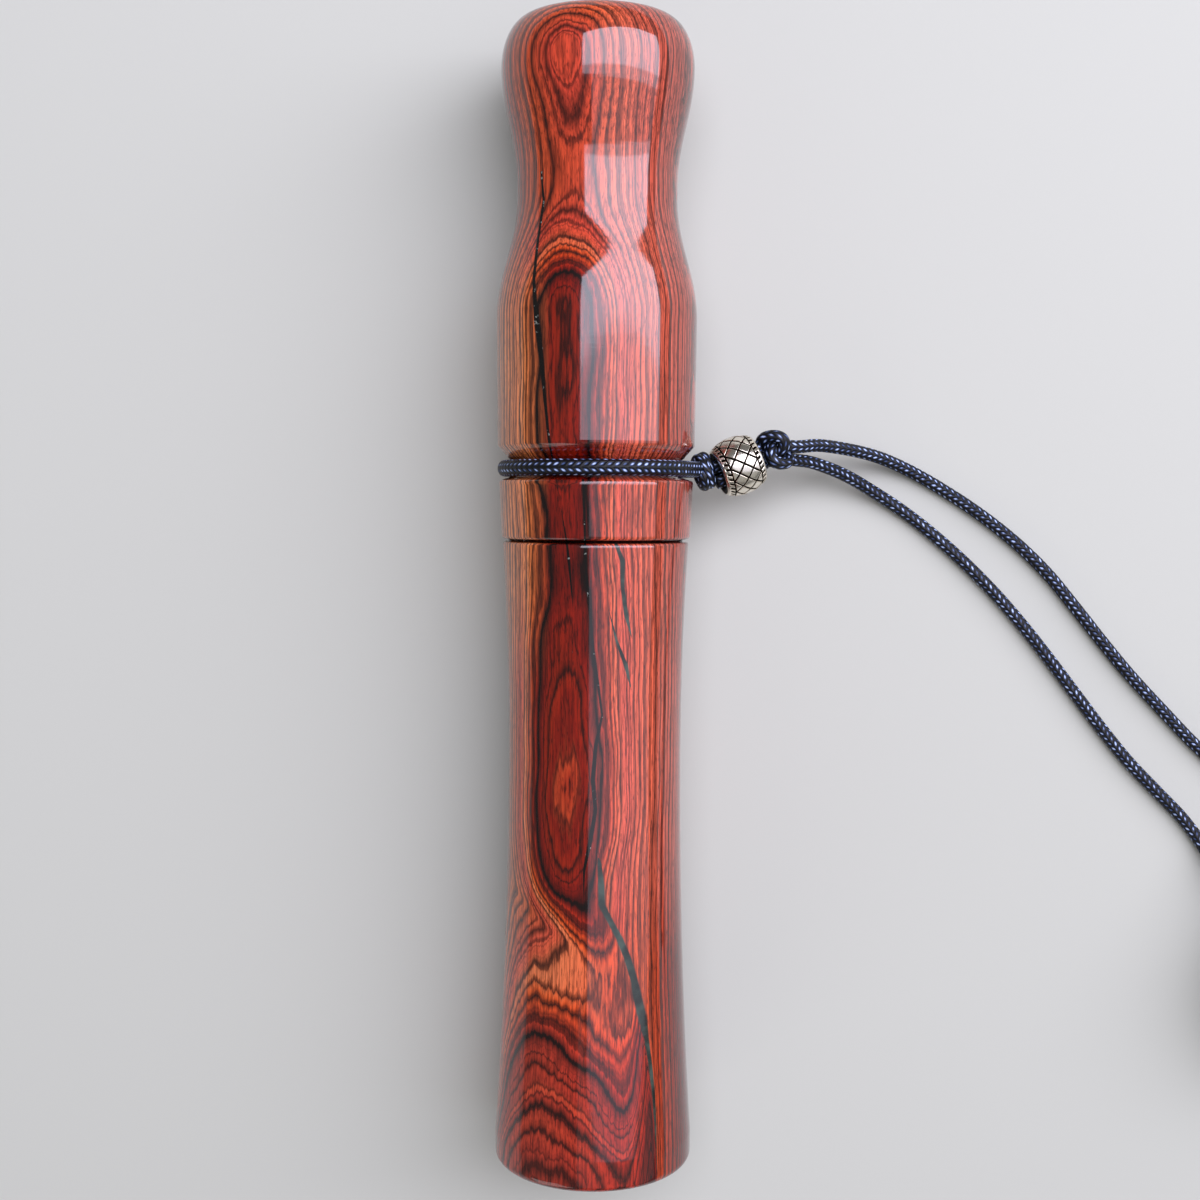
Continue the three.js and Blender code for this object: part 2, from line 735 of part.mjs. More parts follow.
const call = new THREE.Group();
call.position.z = axisHeight;
call.add(makeMesh('mouthpiece', mouthpiece(), 'wood'));
call.add(makeMesh('bell', bell(), 'wood'));
['rear', 'front'].forEach((end, i) => {
  call.add(makeMesh(`tenon_o_ring_${end}`,
    oRing(tenonRingRadius, tenonRingThickness, tenonRingPlaces[i]), 'rubber'));
  call.add(makeMesh(`board_o_ring_${end}`,
    oRing(baseRingRadius, baseRingThickness, baseRingPlaces[i]), 'rubber'));
});
call.add(makeMesh('tone_board', toneBoard(), 'plastic'));
call.add(makeMesh('reed', reed(), 'film'));
call.add(makeMesh('reed_wedge', reedWedge(), 'cork'));
call.add(makeMesh('tuning_ring', tuningRing(), 'rubber'));

const lanyard = new THREE.Group();
lanyard.add(makeMesh('noose', cordAlong(new NooseCurve(), 36), 'cord'));
lanyard.add(alongBeadAxis(
  makeMesh('noose_knot', knot(nooseKnotLength, nooseKnotDiameter, 2), 'cord'), nooseKnotCentre));
lanyard.add(alongBeadAxis(makeMesh('bead', bead(), 'silver'), beadCentre));
lanyard.add(beadCord('bead_cord_upper', 1));
lanyard.add(beadCord('bead_cord_lower', -1));
lanyard.add(alongBeadAxis(
  makeMesh('stopper_knot', knot(stopperKnotLength, stopperKnotDiameter, 3), 'cord'), stopperKnotCentre));
lanyard.add(strand('upper_strand', upperRoute, coilStart, coilRoute[1]));
lanyard.add(strand('lower_strand', lowerRoute, coilEnd, coilRoute[coilRoute.length - 2]));
lanyard.add(makeMesh('neck_loop_coil', coil(), 'cord'));
lanyard.add(makeMesh('coil_tie', coilTie(), 'strap'));
console.log(`Least gap between the coil's loops: ${leastCoilGap().toFixed(3)} mm`);

const group = new THREE.Group();
group.add(call, lanyard);
export default group;
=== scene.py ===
# %% [markdown]
# This notebook dresses a turned wooden grunt call: a hunter's reed call in two wooden pieces,
# with a braided neck lanyard. The construction model gives every place and size. It is loaded
# first, and it doesn't move: each piece made here is laid over the solid that it stands for.

# %% Load the construction model
import math
import bpy
import numpy as np
from mathutils import Matrix, Vector


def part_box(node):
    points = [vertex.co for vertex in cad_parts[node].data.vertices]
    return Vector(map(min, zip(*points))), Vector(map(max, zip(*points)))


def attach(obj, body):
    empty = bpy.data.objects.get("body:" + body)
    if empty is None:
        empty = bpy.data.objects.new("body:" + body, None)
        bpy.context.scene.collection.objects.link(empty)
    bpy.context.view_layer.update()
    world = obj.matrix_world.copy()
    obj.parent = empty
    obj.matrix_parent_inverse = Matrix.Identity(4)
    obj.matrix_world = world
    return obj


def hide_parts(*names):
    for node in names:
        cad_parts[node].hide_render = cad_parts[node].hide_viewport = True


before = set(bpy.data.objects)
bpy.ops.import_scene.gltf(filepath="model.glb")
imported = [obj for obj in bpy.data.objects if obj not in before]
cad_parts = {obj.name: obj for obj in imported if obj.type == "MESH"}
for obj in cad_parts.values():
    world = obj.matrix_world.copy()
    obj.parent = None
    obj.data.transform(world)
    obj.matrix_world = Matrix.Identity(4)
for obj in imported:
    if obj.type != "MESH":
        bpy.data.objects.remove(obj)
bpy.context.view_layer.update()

MM = 0.001
print("nodes in the frame:", len(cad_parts))

# %% [markdown]
# The photograph was taken from straight above, at arm's length, with the call lying on its side.
# The closeness shows: the bell's end bows, and its far parts look smaller. So the camera is put at
# the real distance, which was worked out from that bow, and tips by a few degrees towards the bell.

# %% Set the camera
AXIS = (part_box("mouthpiece")[0][2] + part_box("mouthpiece")[1][2]) / 2 / MM
CAMERA_PLACE = (0.7, 15.1, 257.1)
CAMERA_AIM = (0.7, 0.0, AXIS)
CAMERA_ROLL = math.radians(0.3)
CAMERA_LENS = 47.9
SENSOR_WIDTH = 36.0
NEAREST_SEEN = 0.01

camera_data = bpy.data.cameras.new("camera")
camera_data.lens = CAMERA_LENS
camera_data.sensor_width = SENSOR_WIDTH
camera_data.clip_start = NEAREST_SEEN
camera = bpy.data.objects.new("camera", camera_data)
bpy.context.collection.objects.link(camera)
view_line = (Vector(CAMERA_AIM) - Vector(CAMERA_PLACE)).normalized()
right = view_line.cross(Vector((0, 1, 0))).normalized()
up = right.cross(view_line)
turn_right = right * math.cos(CAMERA_ROLL) + up * math.sin(CAMERA_ROLL)
turn_up = up * math.cos(CAMERA_ROLL) - right * math.sin(CAMERA_ROLL)
facing = Matrix((turn_right, turn_up, -view_line)).transposed().to_4x4()
camera.matrix_world = Matrix.Translation(Vector(CAMERA_PLACE) * MM) @ facing
bpy.context.scene.camera = camera
print("camera above the call's axis by", round(CAMERA_PLACE[2] - AXIS, 1), "mm")

# %% [markdown]
# Every piece below is a mesh made from points. Two helpers do most of the work: one makes a piece
# from its points and faces and tells the frame which body it moves with, and one sweeps a round
# section along a line, which gives cords, knots and straps. The sweep also writes a UV map, with
# the way round the cord in U and the length along it, in millimetres, in V. A braid needs that.

# %% Make a piece from points
def make_piece(name, points, faces, body, smooth=True):
    """Makes a mesh object from points in millimetres, and lets it ride on a body."""
    mesh = bpy.data.meshes.new(name)
    mesh.from_pydata([tuple(p) for p in np.asarray(points) * MM], [], faces)
    mesh.validate()
    if smooth:
        mesh.shade_smooth()
    piece = bpy.data.objects.new(name, mesh)
    bpy.context.collection.objects.link(piece)
    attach(piece, body)
    print(name, "has", len(mesh.vertices), "points")
    return piece


# %% Sweep a section along a line
def unit(vectors):
    """Scales each vector to a length of one."""
    return vectors / np.linalg.norm(vectors, axis=-1, keepdims=True)


def lengths_along(line):
    """Gives the length of a line up to each of its points."""
    return np.concatenate([[0], np.cumsum(np.linalg.norm(np.diff(line, axis=0), axis=1))])


def join_rings(count, sides, closed=True, flip=False):
    """Makes the faces between neighbouring rings of points, and turns them over if flip is set."""
    faces = []
    for i in range(count if closed else count - 1):
        here, after = i * sides, (i + 1) % count * sides
        for k in range(sides):
            m = (k + 1) % sides
            face = (here + k, here + m, after + m, after + k)
            faces.append((face[0], face[3], face[2], face[1]) if flip else face)
    return faces


def sweep_frames(line, up_hint, closed):
    """Carries a sideways and an upward direction along the line without twisting it."""
    ahead = np.roll(line, -1, axis=0) - np.roll(line, 1, axis=0)
    if not closed:
        ahead[0] = line[1] - line[0]
        ahead[-1] = line[-1] - line[-2]
    ahead = unit(ahead)
    upward = np.empty_like(line)
    current = np.array(up_hint, dtype=float)
    for i, direction in enumerate(ahead):
        current = current - direction * np.dot(current, direction)
        current /= np.linalg.norm(current)
        upward[i] = current
    return np.cross(ahead, upward), upward


def sweep(name, line, half_width, half_height, sides, body, slot, up_hint=(0, 0, 1), closed=False):
    """Sweeps a flattened round along a line and maps it for a braid."""
    line = np.asarray(line, dtype=float)
    sideways, upward = sweep_frames(line, up_hint, closed)
    angles = 2 * np.pi * np.arange(sides) / sides
    rings = (line[:, None]
             + half_width * np.cos(angles)[None, :, None] * sideways[:, None]
             + half_height * np.sin(angles)[None, :, None] * upward[:, None])
    faces = join_rings(len(line), sides, closed)
    lengths = lengths_along(np.vstack([line, line[:1]]) if closed else line)
    uvs = []
    for v0, v1 in zip(lengths, lengths[1:]):
        for k in range(sides):
            u0, u1 = k / sides, (k + 1) / sides
            uvs += [u0, v0, u1, v0, u1, v1, u0, v1]
    if not closed:
        first_ring = tuple(range(sides))
        faces += [first_ring[::-1], tuple((len(line) - 1) * sides + k for k in first_ring)]
        uvs += [0.0, 0.0] * (2 * sides)
    piece = make_piece(name, rings.reshape(-1, 3), faces, body)
    piece.data.uv_layers.new(name="braid").data.foreach_set("uv", uvs)
    return piece


def lay_cord(name, line, radius, **options):
    """Sweeps a round length of the lanyard's cord."""
    return sweep(name, line, radius, radius, 20, "mouthpiece", "braided_cord", **options)


# %% [markdown]
# The lanyard is one 2 mm braided cord about 1.4 m long. It comes out of the stopper knot as two
# strands, which droop to the surface and run out of the picture. What the picture doesn't show is
# wound into a small coil just past its edge, as one would put it away. The route's points are
# chosen against the photograph, and a curve through them gives the loose sweep of the cord.
# The coil's turns come from a loop: four layers, each spiralling in or out above the last.

# %% Work out the coil
CORD = 2.0
CORD_RADIUS = CORD / 2
COIL_CENTRE = (120.0, -62.0)
COIL_INNER_RADIUS = 6.2
COIL_PITCH = CORD + 0.45
COIL_LAYERS = 4
COIL_STEPS = 374
STEPS_PER_LOOP = 24
COIL_START = math.radians(41)
TIE_THICKNESS = 0.6
TOUCH = 0.3
CORD_STEP = 0.4
SMOOTHINGS = 3
LAYER_LOOPS = COIL_STEPS / STEPS_PER_LOOP / COIL_LAYERS
COIL_BASE = TIE_THICKNESS + TOUCH + CORD_RADIUS
FINE = 3


def coil_point(loops):
    """Gives the coil's centreline after that many loops, counted from the outside of layer one."""
    share = (loops / LAYER_LOOPS) % 2
    inward = share if share < 1 else 2 - share
    radius = COIL_INNER_RADIUS + COIL_PITCH * LAYER_LOOPS * (1 - inward)
    angle = COIL_START - 2 * math.pi * loops
    climbs = [2 * (loops - layer * LAYER_LOOPS) + 0.5 for layer in range(1, COIL_LAYERS)]
    height = COIL_BASE + COIL_PITCH * sum(min(max(climb, 0), 1) for climb in climbs)
    return np.array([COIL_CENTRE[0] + radius * math.cos(angle),
                     COIL_CENTRE[1] + radius * math.sin(angle), height])


def coil_lead(loops, direction):
    """Gives the end of the coil's straight lead, one diameter along the outer loop's tangent."""
    angle = COIL_START - 2 * math.pi * loops
    return coil_point(loops) + direction * CORD * np.array([math.sin(angle), -math.cos(angle), 0])


all_loops = COIL_STEPS / STEPS_PER_LOOP
coil_line = [coil_lead(0, -1)]
coil_line += [coil_point(i / STEPS_PER_LOOP / FINE) for i in range(COIL_STEPS * FINE + 1)]
coil_line += [coil_lead(all_loops, 1)]
print("loops in the coil:", round(all_loops, 1))

# %% Lay the two strands
def middle_of(box):
    """Gives the middle of a solid's box, in millimetres."""
    return (np.array(box[0]) + np.array(box[1])) / 2 / MM


STOPPER_KNOT = middle_of(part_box("stopper_knot"))
UPPER_ROUTE = [
    STOPPER_KNOT + (1.0, 0.7, 0.4), STOPPER_KNOT + (3.6, 0.6, -0.6), STOPPER_KNOT + (8, 0.9, -3.6),
    (43, 22.6, 4), (49, 20.5, 1.7), (55.2, 17.2, 1), (61.7, 13, 1), (67.6, 8.4, 1), (72.6, 3.6, 1),
    (77, -1.6, 1), (81.4, -7, 1), (85.9, -12.3, 1), (90.8, -17.5, 1), (97.7, -24.5, 1),
    (105.5, -31.2, 1.1), (114, -37.4, 1.5), (122.4, -43.2, 1.9),
]
LOWER_ROUTE = [
    STOPPER_KNOT + (0.6, -0.6, -0.6), STOPPER_KNOT + (2.9, -1.3, -2.3), STOPPER_KNOT + (6.3, -1.7, -4.3),
    (39, 19.4, 4.2), (44.5, 16.5, 1.9), (50.1, 12.9, 1), (55.3, 8.8, 1), (59.9, 4.7, 1),
    (64.2, 0.4, 1), (68.4, -4.3, 1), (72.8, -9.7, 1), (77.3, -15.5, 1), (81.8, -21.3, 1),
    (86.3, -26.7, 1), (91, -31.5, 1), (95.4, -36, 1), (99, -41, 1.5), (101.6, -47, 4),
    (103, -53, 7.2),
]


def smooth_through(route, per_span=12):
    """Draws a smooth curve through a route's points."""
    route = np.array([tuple(p) for p in route], dtype=float)
    route = np.vstack([2 * route[0] - route[1], route, 2 * route[-1] - route[-2]])
    line = []
    for i in range(1, len(route) - 2):
        a, b, c, d = route[i - 1:i + 3]
        for t in np.arange(per_span) / per_span:
            line.append(0.5 * (2 * b + (c - a) * t + (2 * a - 5 * b + 4 * c - d) * t ** 2
                               + (3 * b - a - 3 * c + d) * t ** 3))
    return np.array(line + [route[-2]])


def even_steps(line, step):
    """Spaces points evenly along a line."""
    line = np.asarray(line, dtype=float)
    lengths = lengths_along(line)
    places = np.linspace(0, lengths[-1], int(lengths[-1] / step) + 1)
    return np.stack([np.interp(places, lengths, line[:, i]) for i in range(3)], axis=1)


def to_coil(route, tip, inner):
    """Ends a strand's route square to the coil's lead."""
    away = unit(tip - inner)
    return smooth_through(list(route) + [tip + away * (TOUCH + 2 * CORD), tip + away * TOUCH])


upper_line = to_coil(UPPER_ROUTE, coil_line[0], coil_line[1])
lower_line = to_coil(LOWER_ROUTE, coil_line[-1], coil_line[-2])
loop_line = even_steps(np.vstack([upper_line, coil_line, lower_line[::-1]]), CORD_STEP)
for _ in range(SMOOTHINGS):
    loop_line[1:-1] = (loop_line[:-2] + 2 * loop_line[1:-1] + loop_line[2:]) / 4

# %% Sweep the neck loop
neck_loop = lay_cord("neck_loop", loop_line, CORD_RADIUS)
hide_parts("upper_strand", "lower_strand", "neck_loop_coil")

# %% [markdown]
# The noose is drawn tight in its groove, so the pull flattens the cord a little. Its two ends leave
# the groove on straight tangents and go into the noose knot, which is two wraps of cord side by
# side. The stopper knot is a plain overhand knot pulled tight: a trefoil, which a short formula
# draws. Both knots are real windings and not balls, because their lobes show at this distance.

# %% Wind the noose
GROOVE = (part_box("noose")[0][1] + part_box("noose")[1][1]) / 2 / MM
NOOSE_RADIUS = 13.9
NOOSE_HALF_WIDTH = 1.2
NOOSE_HALF_HEIGHT = 0.95
WRAP_STEPS = 240
LEG_START = 0.12
NOOSE_KNOT = middle_of(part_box("noose_knot"))
knot_up = NOOSE_KNOT[2] - AXIS
reach = math.hypot(NOOSE_KNOT[0], knot_up)
tangent_angle = math.acos(NOOSE_RADIUS / reach)
middle_angle = math.atan2(knot_up, NOOSE_KNOT[0])
wrap_angles = np.linspace(middle_angle + tangent_angle,
                          middle_angle + 2 * math.pi - tangent_angle, WRAP_STEPS)
wrap = np.stack([NOOSE_RADIUS * np.cos(wrap_angles), np.full(WRAP_STEPS, GROOVE),
                 AXIS + NOOSE_RADIUS * np.sin(wrap_angles)], axis=1)
leg_end = NOOSE_KNOT + (0, GROOVE - NOOSE_KNOT[1], 0)
leg_in = leg_end + (wrap[0] - leg_end) * LEG_START
leg_out = leg_end + (wrap[-1] - leg_end) * LEG_START
noose_line = even_steps(np.vstack([[leg_in], wrap, [leg_out]]), CORD_STEP)
noose = sweep("noose_cord", noose_line, NOOSE_HALF_WIDTH, NOOSE_HALF_HEIGHT, 24, "mouthpiece",
              "braided_cord", up_hint=(1, 0, 0))
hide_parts("noose")

# %% Tie the knots
BEAD = middle_of(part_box("bead"))
BEAD_TURN = math.radians(22.7)
BEAD_DIP = math.radians(8)
bead_axis = np.array([math.cos(BEAD_TURN) * math.cos(BEAD_DIP),
                      math.sin(BEAD_TURN) * math.cos(BEAD_DIP), -math.sin(BEAD_DIP)])
bead_side = np.array([-math.sin(BEAD_TURN), math.cos(BEAD_TURN), 0.0])
bead_up = np.cross(bead_axis, bead_side)


def beside_bead(centre, along, side, rise):
    """Places points by their distances along, beside and above the bead's axis."""
    return (centre + np.outer(along, bead_axis) + np.outer(side, bead_side) + np.outer(rise, bead_up))


WRAP_TURNS = 2.3
WRAP_RADIUS = 1.95
WRAP_LENGTH = 2.0125
TIGHT_RADIUS = 0.95
t = np.linspace(0, 1, 140)
wrap_radius = WRAP_RADIUS * np.clip(np.minimum(t, 1 - t) * 8, 0.15, 1)
winding = beside_bead(NOOSE_KNOT, (t - 0.5) * WRAP_LENGTH,
                      wrap_radius * np.cos(2 * np.pi * WRAP_TURNS * t),
                      wrap_radius * np.sin(2 * np.pi * WRAP_TURNS * t))
noose_knot = lay_cord("noose_knot_wraps", winding, TIGHT_RADIUS, up_hint=bead_axis)
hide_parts("noose_knot")

TREFOIL_SIZE = 0.84
TREFOIL_DEPTH = 1.35
t = np.linspace(0, 2 * np.pi, 220, endpoint=False)
trefoil = beside_bead(STOPPER_KNOT, -TREFOIL_DEPTH * np.sin(3 * t),
                      TREFOIL_SIZE * (np.sin(t) + 2 * np.sin(2 * t)),
                      TREFOIL_SIZE * (np.cos(t) - 2 * np.cos(2 * t)))
stopper_knot = lay_cord("stopper_knot_wraps", trefoil, CORD_RADIUS, up_hint=bead_axis, closed=True)
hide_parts("stopper_knot")

BESIDE_AXIS = 1.15
KNOT_TO_KNOT = 8.4
bead_cords = []
for side, node in ((1, "bead_cord_upper"), (-1, "bead_cord_lower")):
    along = np.linspace(-KNOT_TO_KNOT / 2, KNOT_TO_KNOT / 2, 24)
    line = beside_bead(BEAD, along, np.full(24, BESIDE_AXIS * side), np.zeros(24))
    cord_piece = lay_cord(node.replace("cord", "strand"), line, CORD_RADIUS)
    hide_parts(node)
    bead_cords.append(cord_piece)

# %% [markdown]
# A turned piece is an outline spun round an axis. The outline is written as the turner would
# describe it: a bulb, a neck, a swelling body, a groove and a band. Curved stretches come from a
# cosine or a parabola, and each is cut into short steps, so that edges catch a thin highlight.

# %% Spin an outline
def swell(start, end, steps=40):
    """An S-shaped stretch of outline, level at both ends, as (radius, y) points."""
    t = np.linspace(0, 1, steps)
    share = (1 - np.cos(np.pi * t)) / 2
    return np.stack([start[0] + (end[0] - start[0]) * share,
                     start[1] + (end[1] - start[1]) * t], axis=1)


def flare(start, end, steps=60):
    """A stretch that starts level and steepens towards its end."""
    t = np.linspace(0, 1, steps)
    return np.stack([start[0] + (end[0] - start[0]) * t ** 2,
                     start[1] + (end[1] - start[1]) * t], axis=1)


def round_off(centre, width, length, from_degrees, to_degrees, steps=16):
    """A rounded stretch, as part of an ellipse."""
    angle = np.radians(np.linspace(from_degrees, to_degrees, steps))
    return np.stack([centre[0] + width * np.cos(angle), centre[1] + length * np.sin(angle)], axis=1)


def finely(outline, step):
    """Cuts an outline's long straight stretches into short ones."""
    outline = np.vstack(outline)
    points = []
    for a, b in zip(outline, np.roll(outline, -1, axis=0)):
        pieces = max(1, math.ceil(np.linalg.norm(b - a) / step))
        if np.linalg.norm(b - a) > 1e-6:
            points += [a + (b - a) * i / pieces for i in range(pieces)]
    return np.array(points)


def spin(outline, sides):
    """Spins a closed outline about the Y axis. Returns points about that axis, and faces."""
    angles = 2 * np.pi * np.arange(sides) / sides
    points = np.stack([outline[:, :1] * np.sin(angles), np.repeat(outline[:, 1:], sides, axis=1),
                       outline[:, :1] * np.cos(angles)], axis=-1).reshape(-1, 3)
    return points, join_rings(len(outline), sides, flip=True)


def turn_piece(name, outline, sides, body):
    """Spins a piece round the call's axis."""
    points, faces = spin(outline, sides)
    return make_piece(name, points + (0, 0, AXIS), faces, body)


# %% Turn the mouthpiece
WIDEST = 15.1
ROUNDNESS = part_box("mouthpiece")[1][0] / MM / WIDEST
MOUTH_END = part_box("mouthpiece")[1][1] / MM
SOCKET_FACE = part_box("mouthpiece")[0][1] / MM
WOOD_STEP = 0.4
WOOD_SIDES = 320
bulb_y = MOUTH_END - 7
groove_top = GROOVE + 1.75
groove_foot = GROOVE - 1.75
mouthpiece_outline = finely([
    [(13.9, SOCKET_FACE), (14.14, SOCKET_FACE + 0.08), (14.3, SOCKET_FACE + 0.35)],
    [(14.7, groove_foot - 0.45), (14.62, groove_foot - 0.12), (14.35, groove_foot)],
    [(12.9, groove_foot + 0.48), (12.6, GROOVE - 0.8), (12.6, GROOVE + 0.8), (12.9, groove_top - 0.48)],
    [(13.4, groove_top - 0.1), (13.5, groove_top + 0.05),
     (14.78, groove_top + 1.45), (14.9, groove_top + 1.7)],
    swell((WIDEST, 42.1), (12, 59.9), 60),
    swell((12, 62), (14.42, bulb_y), 50),
    round_off((10.42, bulb_y), 4, 7, 0, 90, 30),
    round_off((8, MOUTH_END - 2.5), 2, 2.5, 90, 180, 12),
    [(6, MOUTH_END - 14), (8, MOUTH_END - 16), (8, 31.4), (10.3, 31.4)],
    [(10.3, SOCKET_FACE + 0.3), (10.6, SOCKET_FACE)],
], WOOD_STEP)
mouthpiece_outline[:, 0] *= ROUNDNESS
mouthpiece = turn_piece("turned_mouthpiece", mouthpiece_outline, WOOD_SIDES, "mouthpiece")
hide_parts("mouthpiece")

# %% Turn the bell
BELL_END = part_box("bell")[0][1] / MM
TENON_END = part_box("bell")[1][1] / MM
SHOULDER = SOCKET_FACE - 0.45
TENON_RADIUS = 9.7
SEAT = SOCKET_FACE - 0.1
SEAT_RADIUS = 13.2
waist = BELL_END + 64
rim_top = BELL_END + 4.5


def ring_groove(middle, surface, floor, half_width):
    """A square-cut groove for an O-ring."""
    return [(surface, middle - half_width), (floor, middle - half_width),
            (floor, middle + half_width), (surface, middle + half_width)]


bell_outline = finely([
    round_off((13.8, BELL_END + 1.3), 1.3, 1.3, -90, 0, 12),
    flare((13.13, waist), (WIDEST, rim_top), 80)[::-1],
    flare((13.13, waist), (14.08, SHOULDER - 0.35), 40),
    [(13.98, SHOULDER - 0.08), (13.75, SHOULDER), (SEAT_RADIUS, SHOULDER), (SEAT_RADIUS, SEAT)],
    [(TENON_RADIUS, SEAT)],
    ring_groove(SHOULDER + 5, TENON_RADIUS, 8.1, 1.1),
    ring_groove(TENON_END - 5, TENON_RADIUS, 8.1, 1.1),
    [(TENON_RADIUS, TENON_END - 0.3), (9.4, TENON_END), (6.8, TENON_END), (6.8, 16), (5.2, 16)],
    flare((5.2, BELL_END + 60), (11, BELL_END), 40),
], WOOD_STEP)
bell_outline[:, 0] *= ROUNDNESS
bell = turn_piece("turned_bell", bell_outline, WOOD_SIDES, "bell")
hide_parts("bell")

# %% [markdown]
# The O-rings are plain moulded rings. The construction model has them with flats, so each is spun
# again here as a true round, from its own box in the frame.

# %% Mould the O-rings
moulded_rings = []
for node, body in (("tenon_o_ring_rear", "tenon_rings"), ("tenon_o_ring_front", "tenon_rings"),
                   ("board_o_ring_rear", "tone_board"), ("board_o_ring_front", "tone_board")):
    low, high = (np.array(corner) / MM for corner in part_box(node))
    thickness = 1.6 if node.startswith("tenon") else 1.2
    middle = (low[1] + high[1]) / 2
    ring_radius = (high[0] - low[0]) / 2 - thickness / 2
    section = round_off((ring_radius, middle), thickness / 2, thickness / 2, 0, 360, 21)[:-1]
    ring = turn_piece(node + "_moulded", section, 96, body)
    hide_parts(node)
    moulded_rings.append(ring)

# %% [markdown]
# The bead is cast metal with an engraved lattice, darkened in its grooves and rubbed bright on its
# high places. The lattice is cut into the mesh and not only drawn: each point of a fine barrel is
# pushed in where a line passes. How deep a point lies is kept as a value on the mesh, so the
# finish can put the dark tarnish exactly where the grooves are.

# %% Cast the bead
BEAD_LENGTH = 6.6
BEAD_BELLY = 4.5
BEAD_RIM = 3.55
BEAD_BORE = 2.45
BEAD_AROUND = 420
BEAD_ALONG = 150
CUT_DEPTH = 0.16
RIM_ROUND = 0.18
half = BEAD_LENGTH / 2
barrel_radius = (half ** 2 + (BEAD_BELLY - BEAD_RIM) ** 2) / (2 * (BEAD_BELLY - BEAD_RIM))
along = np.linspace(-half, half, BEAD_ALONG)
barrel = BEAD_BELLY - barrel_radius + np.sqrt(barrel_radius ** 2 - along ** 2)
around = 2 * np.pi * np.arange(BEAD_AROUND) / BEAD_AROUND


def groove_cut(distance, half_width):
    """How deep a cut is at a distance from its middle: 1 there, 0 past its edge, with round sides."""
    return np.clip(1 - (np.abs(distance) / half_width) ** 2, 0, 1) ** 0.5


def to_nearest(phase, pitch):
    """The distance to the nearest of a row of lines, in the unit of the pitch."""
    return (np.mod(phase + 0.5, 1) - 0.5) * pitch


LATTICE_LINES = 12
BAND_WIDTH = 1.05
BAND_MARKS = 30
angle_grid, along_grid = np.meshgrid(around, along)
lattice_pitch = 2 * np.pi * BEAD_BELLY / LATTICE_LINES * 0.72
lean = along_grid / (BEAD_LENGTH - 2 * BAND_WIDTH) * 2
cut_one = groove_cut(to_nearest(angle_grid / (2 * np.pi) * LATTICE_LINES + lean, lattice_pitch), 0.15)
cut_two = groove_cut(to_nearest(angle_grid / (2 * np.pi) * LATTICE_LINES - lean, lattice_pitch), 0.13)
inside_band = np.abs(along_grid) < half - BAND_WIDTH
lattice = np.maximum(cut_one, cut_two) * inside_band
band_middle = half - 0.68
mark_phase = to_nearest(angle_grid / (2 * np.pi) * BAND_MARKS, 2 * np.pi * BEAD_RIM / BAND_MARKS)
marks = (groove_cut(mark_phase - 0.35 * (np.abs(along_grid) - band_middle), 0.2)
         * groove_cut(np.abs(along_grid) - band_middle, 0.3))
border = groove_cut(np.abs(along_grid) - (half - BAND_WIDTH), 0.11)
depth = np.clip(np.maximum.reduce([lattice, marks, border * 0.8]), 0, 1)
rim_round = np.clip((np.abs(along_grid) - (half - 0.25)) / 0.25, 0, 1) ** 2 * RIM_ROUND
radius_grid = barrel[:, None] - CUT_DEPTH * depth - rim_round
outside = np.stack([radius_grid * np.sin(angle_grid), along_grid,
                    radius_grid * np.cos(angle_grid)], axis=-1)
bore_half = np.array([(BEAD_RIM - 0.35, half + 0.02), (BEAD_BORE + 0.35, half),
                      (BEAD_BORE + 0.05, half - 0.25)])
bore_rows = np.vstack([bore_half, [(BEAD_BORE, 0)], bore_half[::-1] * (1, -1)])
bead_points = np.concatenate([outside.reshape(-1, 3), spin(bore_rows, BEAD_AROUND)[0]])
bead_faces = join_rings(BEAD_ALONG + len(bore_rows), BEAD_AROUND, flip=True)
placed = beside_bead(BEAD, bead_points[:, 1], bead_points[:, 0], bead_points[:, 2])
bead = make_piece("engraved_bead", placed, bead_faces, "bead")
BORE_TARNISH = 0.9
tarnish = np.concatenate([depth.ravel(), np.full(len(bore_rows) * BEAD_AROUND, BORE_TARNISH)])
bead.data.attributes.new("tarnish", "FLOAT", "POINT").data.foreach_set("value", tarnish)
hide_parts("bead")

# %% [markdown]
# The strap that holds the coil is a flat woven band round all its turns, sewn to itself on top.

# %% Wrap the coil's strap
TIE_WIDTH = 5.0
TIE_ANGLE = math.radians(300)
coil_outer = COIL_INNER_RADIUS + COIL_PITCH * LAYER_LOOPS + CORD_RADIUS + TOUCH
eye_reach = math.sqrt((COIL_INNER_RADIUS - CORD_RADIUS) ** 2 - (TIE_WIDTH / 2) ** 2) - TOUCH
strap_low = TIE_THICKNESS / 2
strap_high = COIL_BASE + COIL_PITCH * (COIL_LAYERS - 1) + CORD_RADIUS + TOUCH + TIE_THICKNESS / 2
strap_near = eye_reach - TIE_THICKNESS / 2
strap_far = coil_outer + TIE_THICKNESS / 2
CORNER = 0.8
corners = []
for x, z, start in ((strap_far, strap_low, -90), (strap_far, strap_high, 0),
                    (strap_near, strap_high, 90), (strap_near, strap_low, 180)):
    middle_x = x - math.copysign(CORNER, x - (strap_near + strap_far) / 2)
    middle_z = z - math.copysign(CORNER, z - (strap_low + strap_high) / 2)
    for degrees in np.linspace(start, start + 90, 6):
        corners.append((middle_x + CORNER * math.cos(math.radians(degrees)),
                        middle_z + CORNER * math.sin(math.radians(degrees))))
outward = np.array([math.cos(TIE_ANGLE), math.sin(TIE_ANGLE), 0])
across = np.array([-outward[1], outward[0], 0])
strap_line = np.array([outward * x + (COIL_CENTRE[0], COIL_CENTRE[1], z) for x, z in corners])
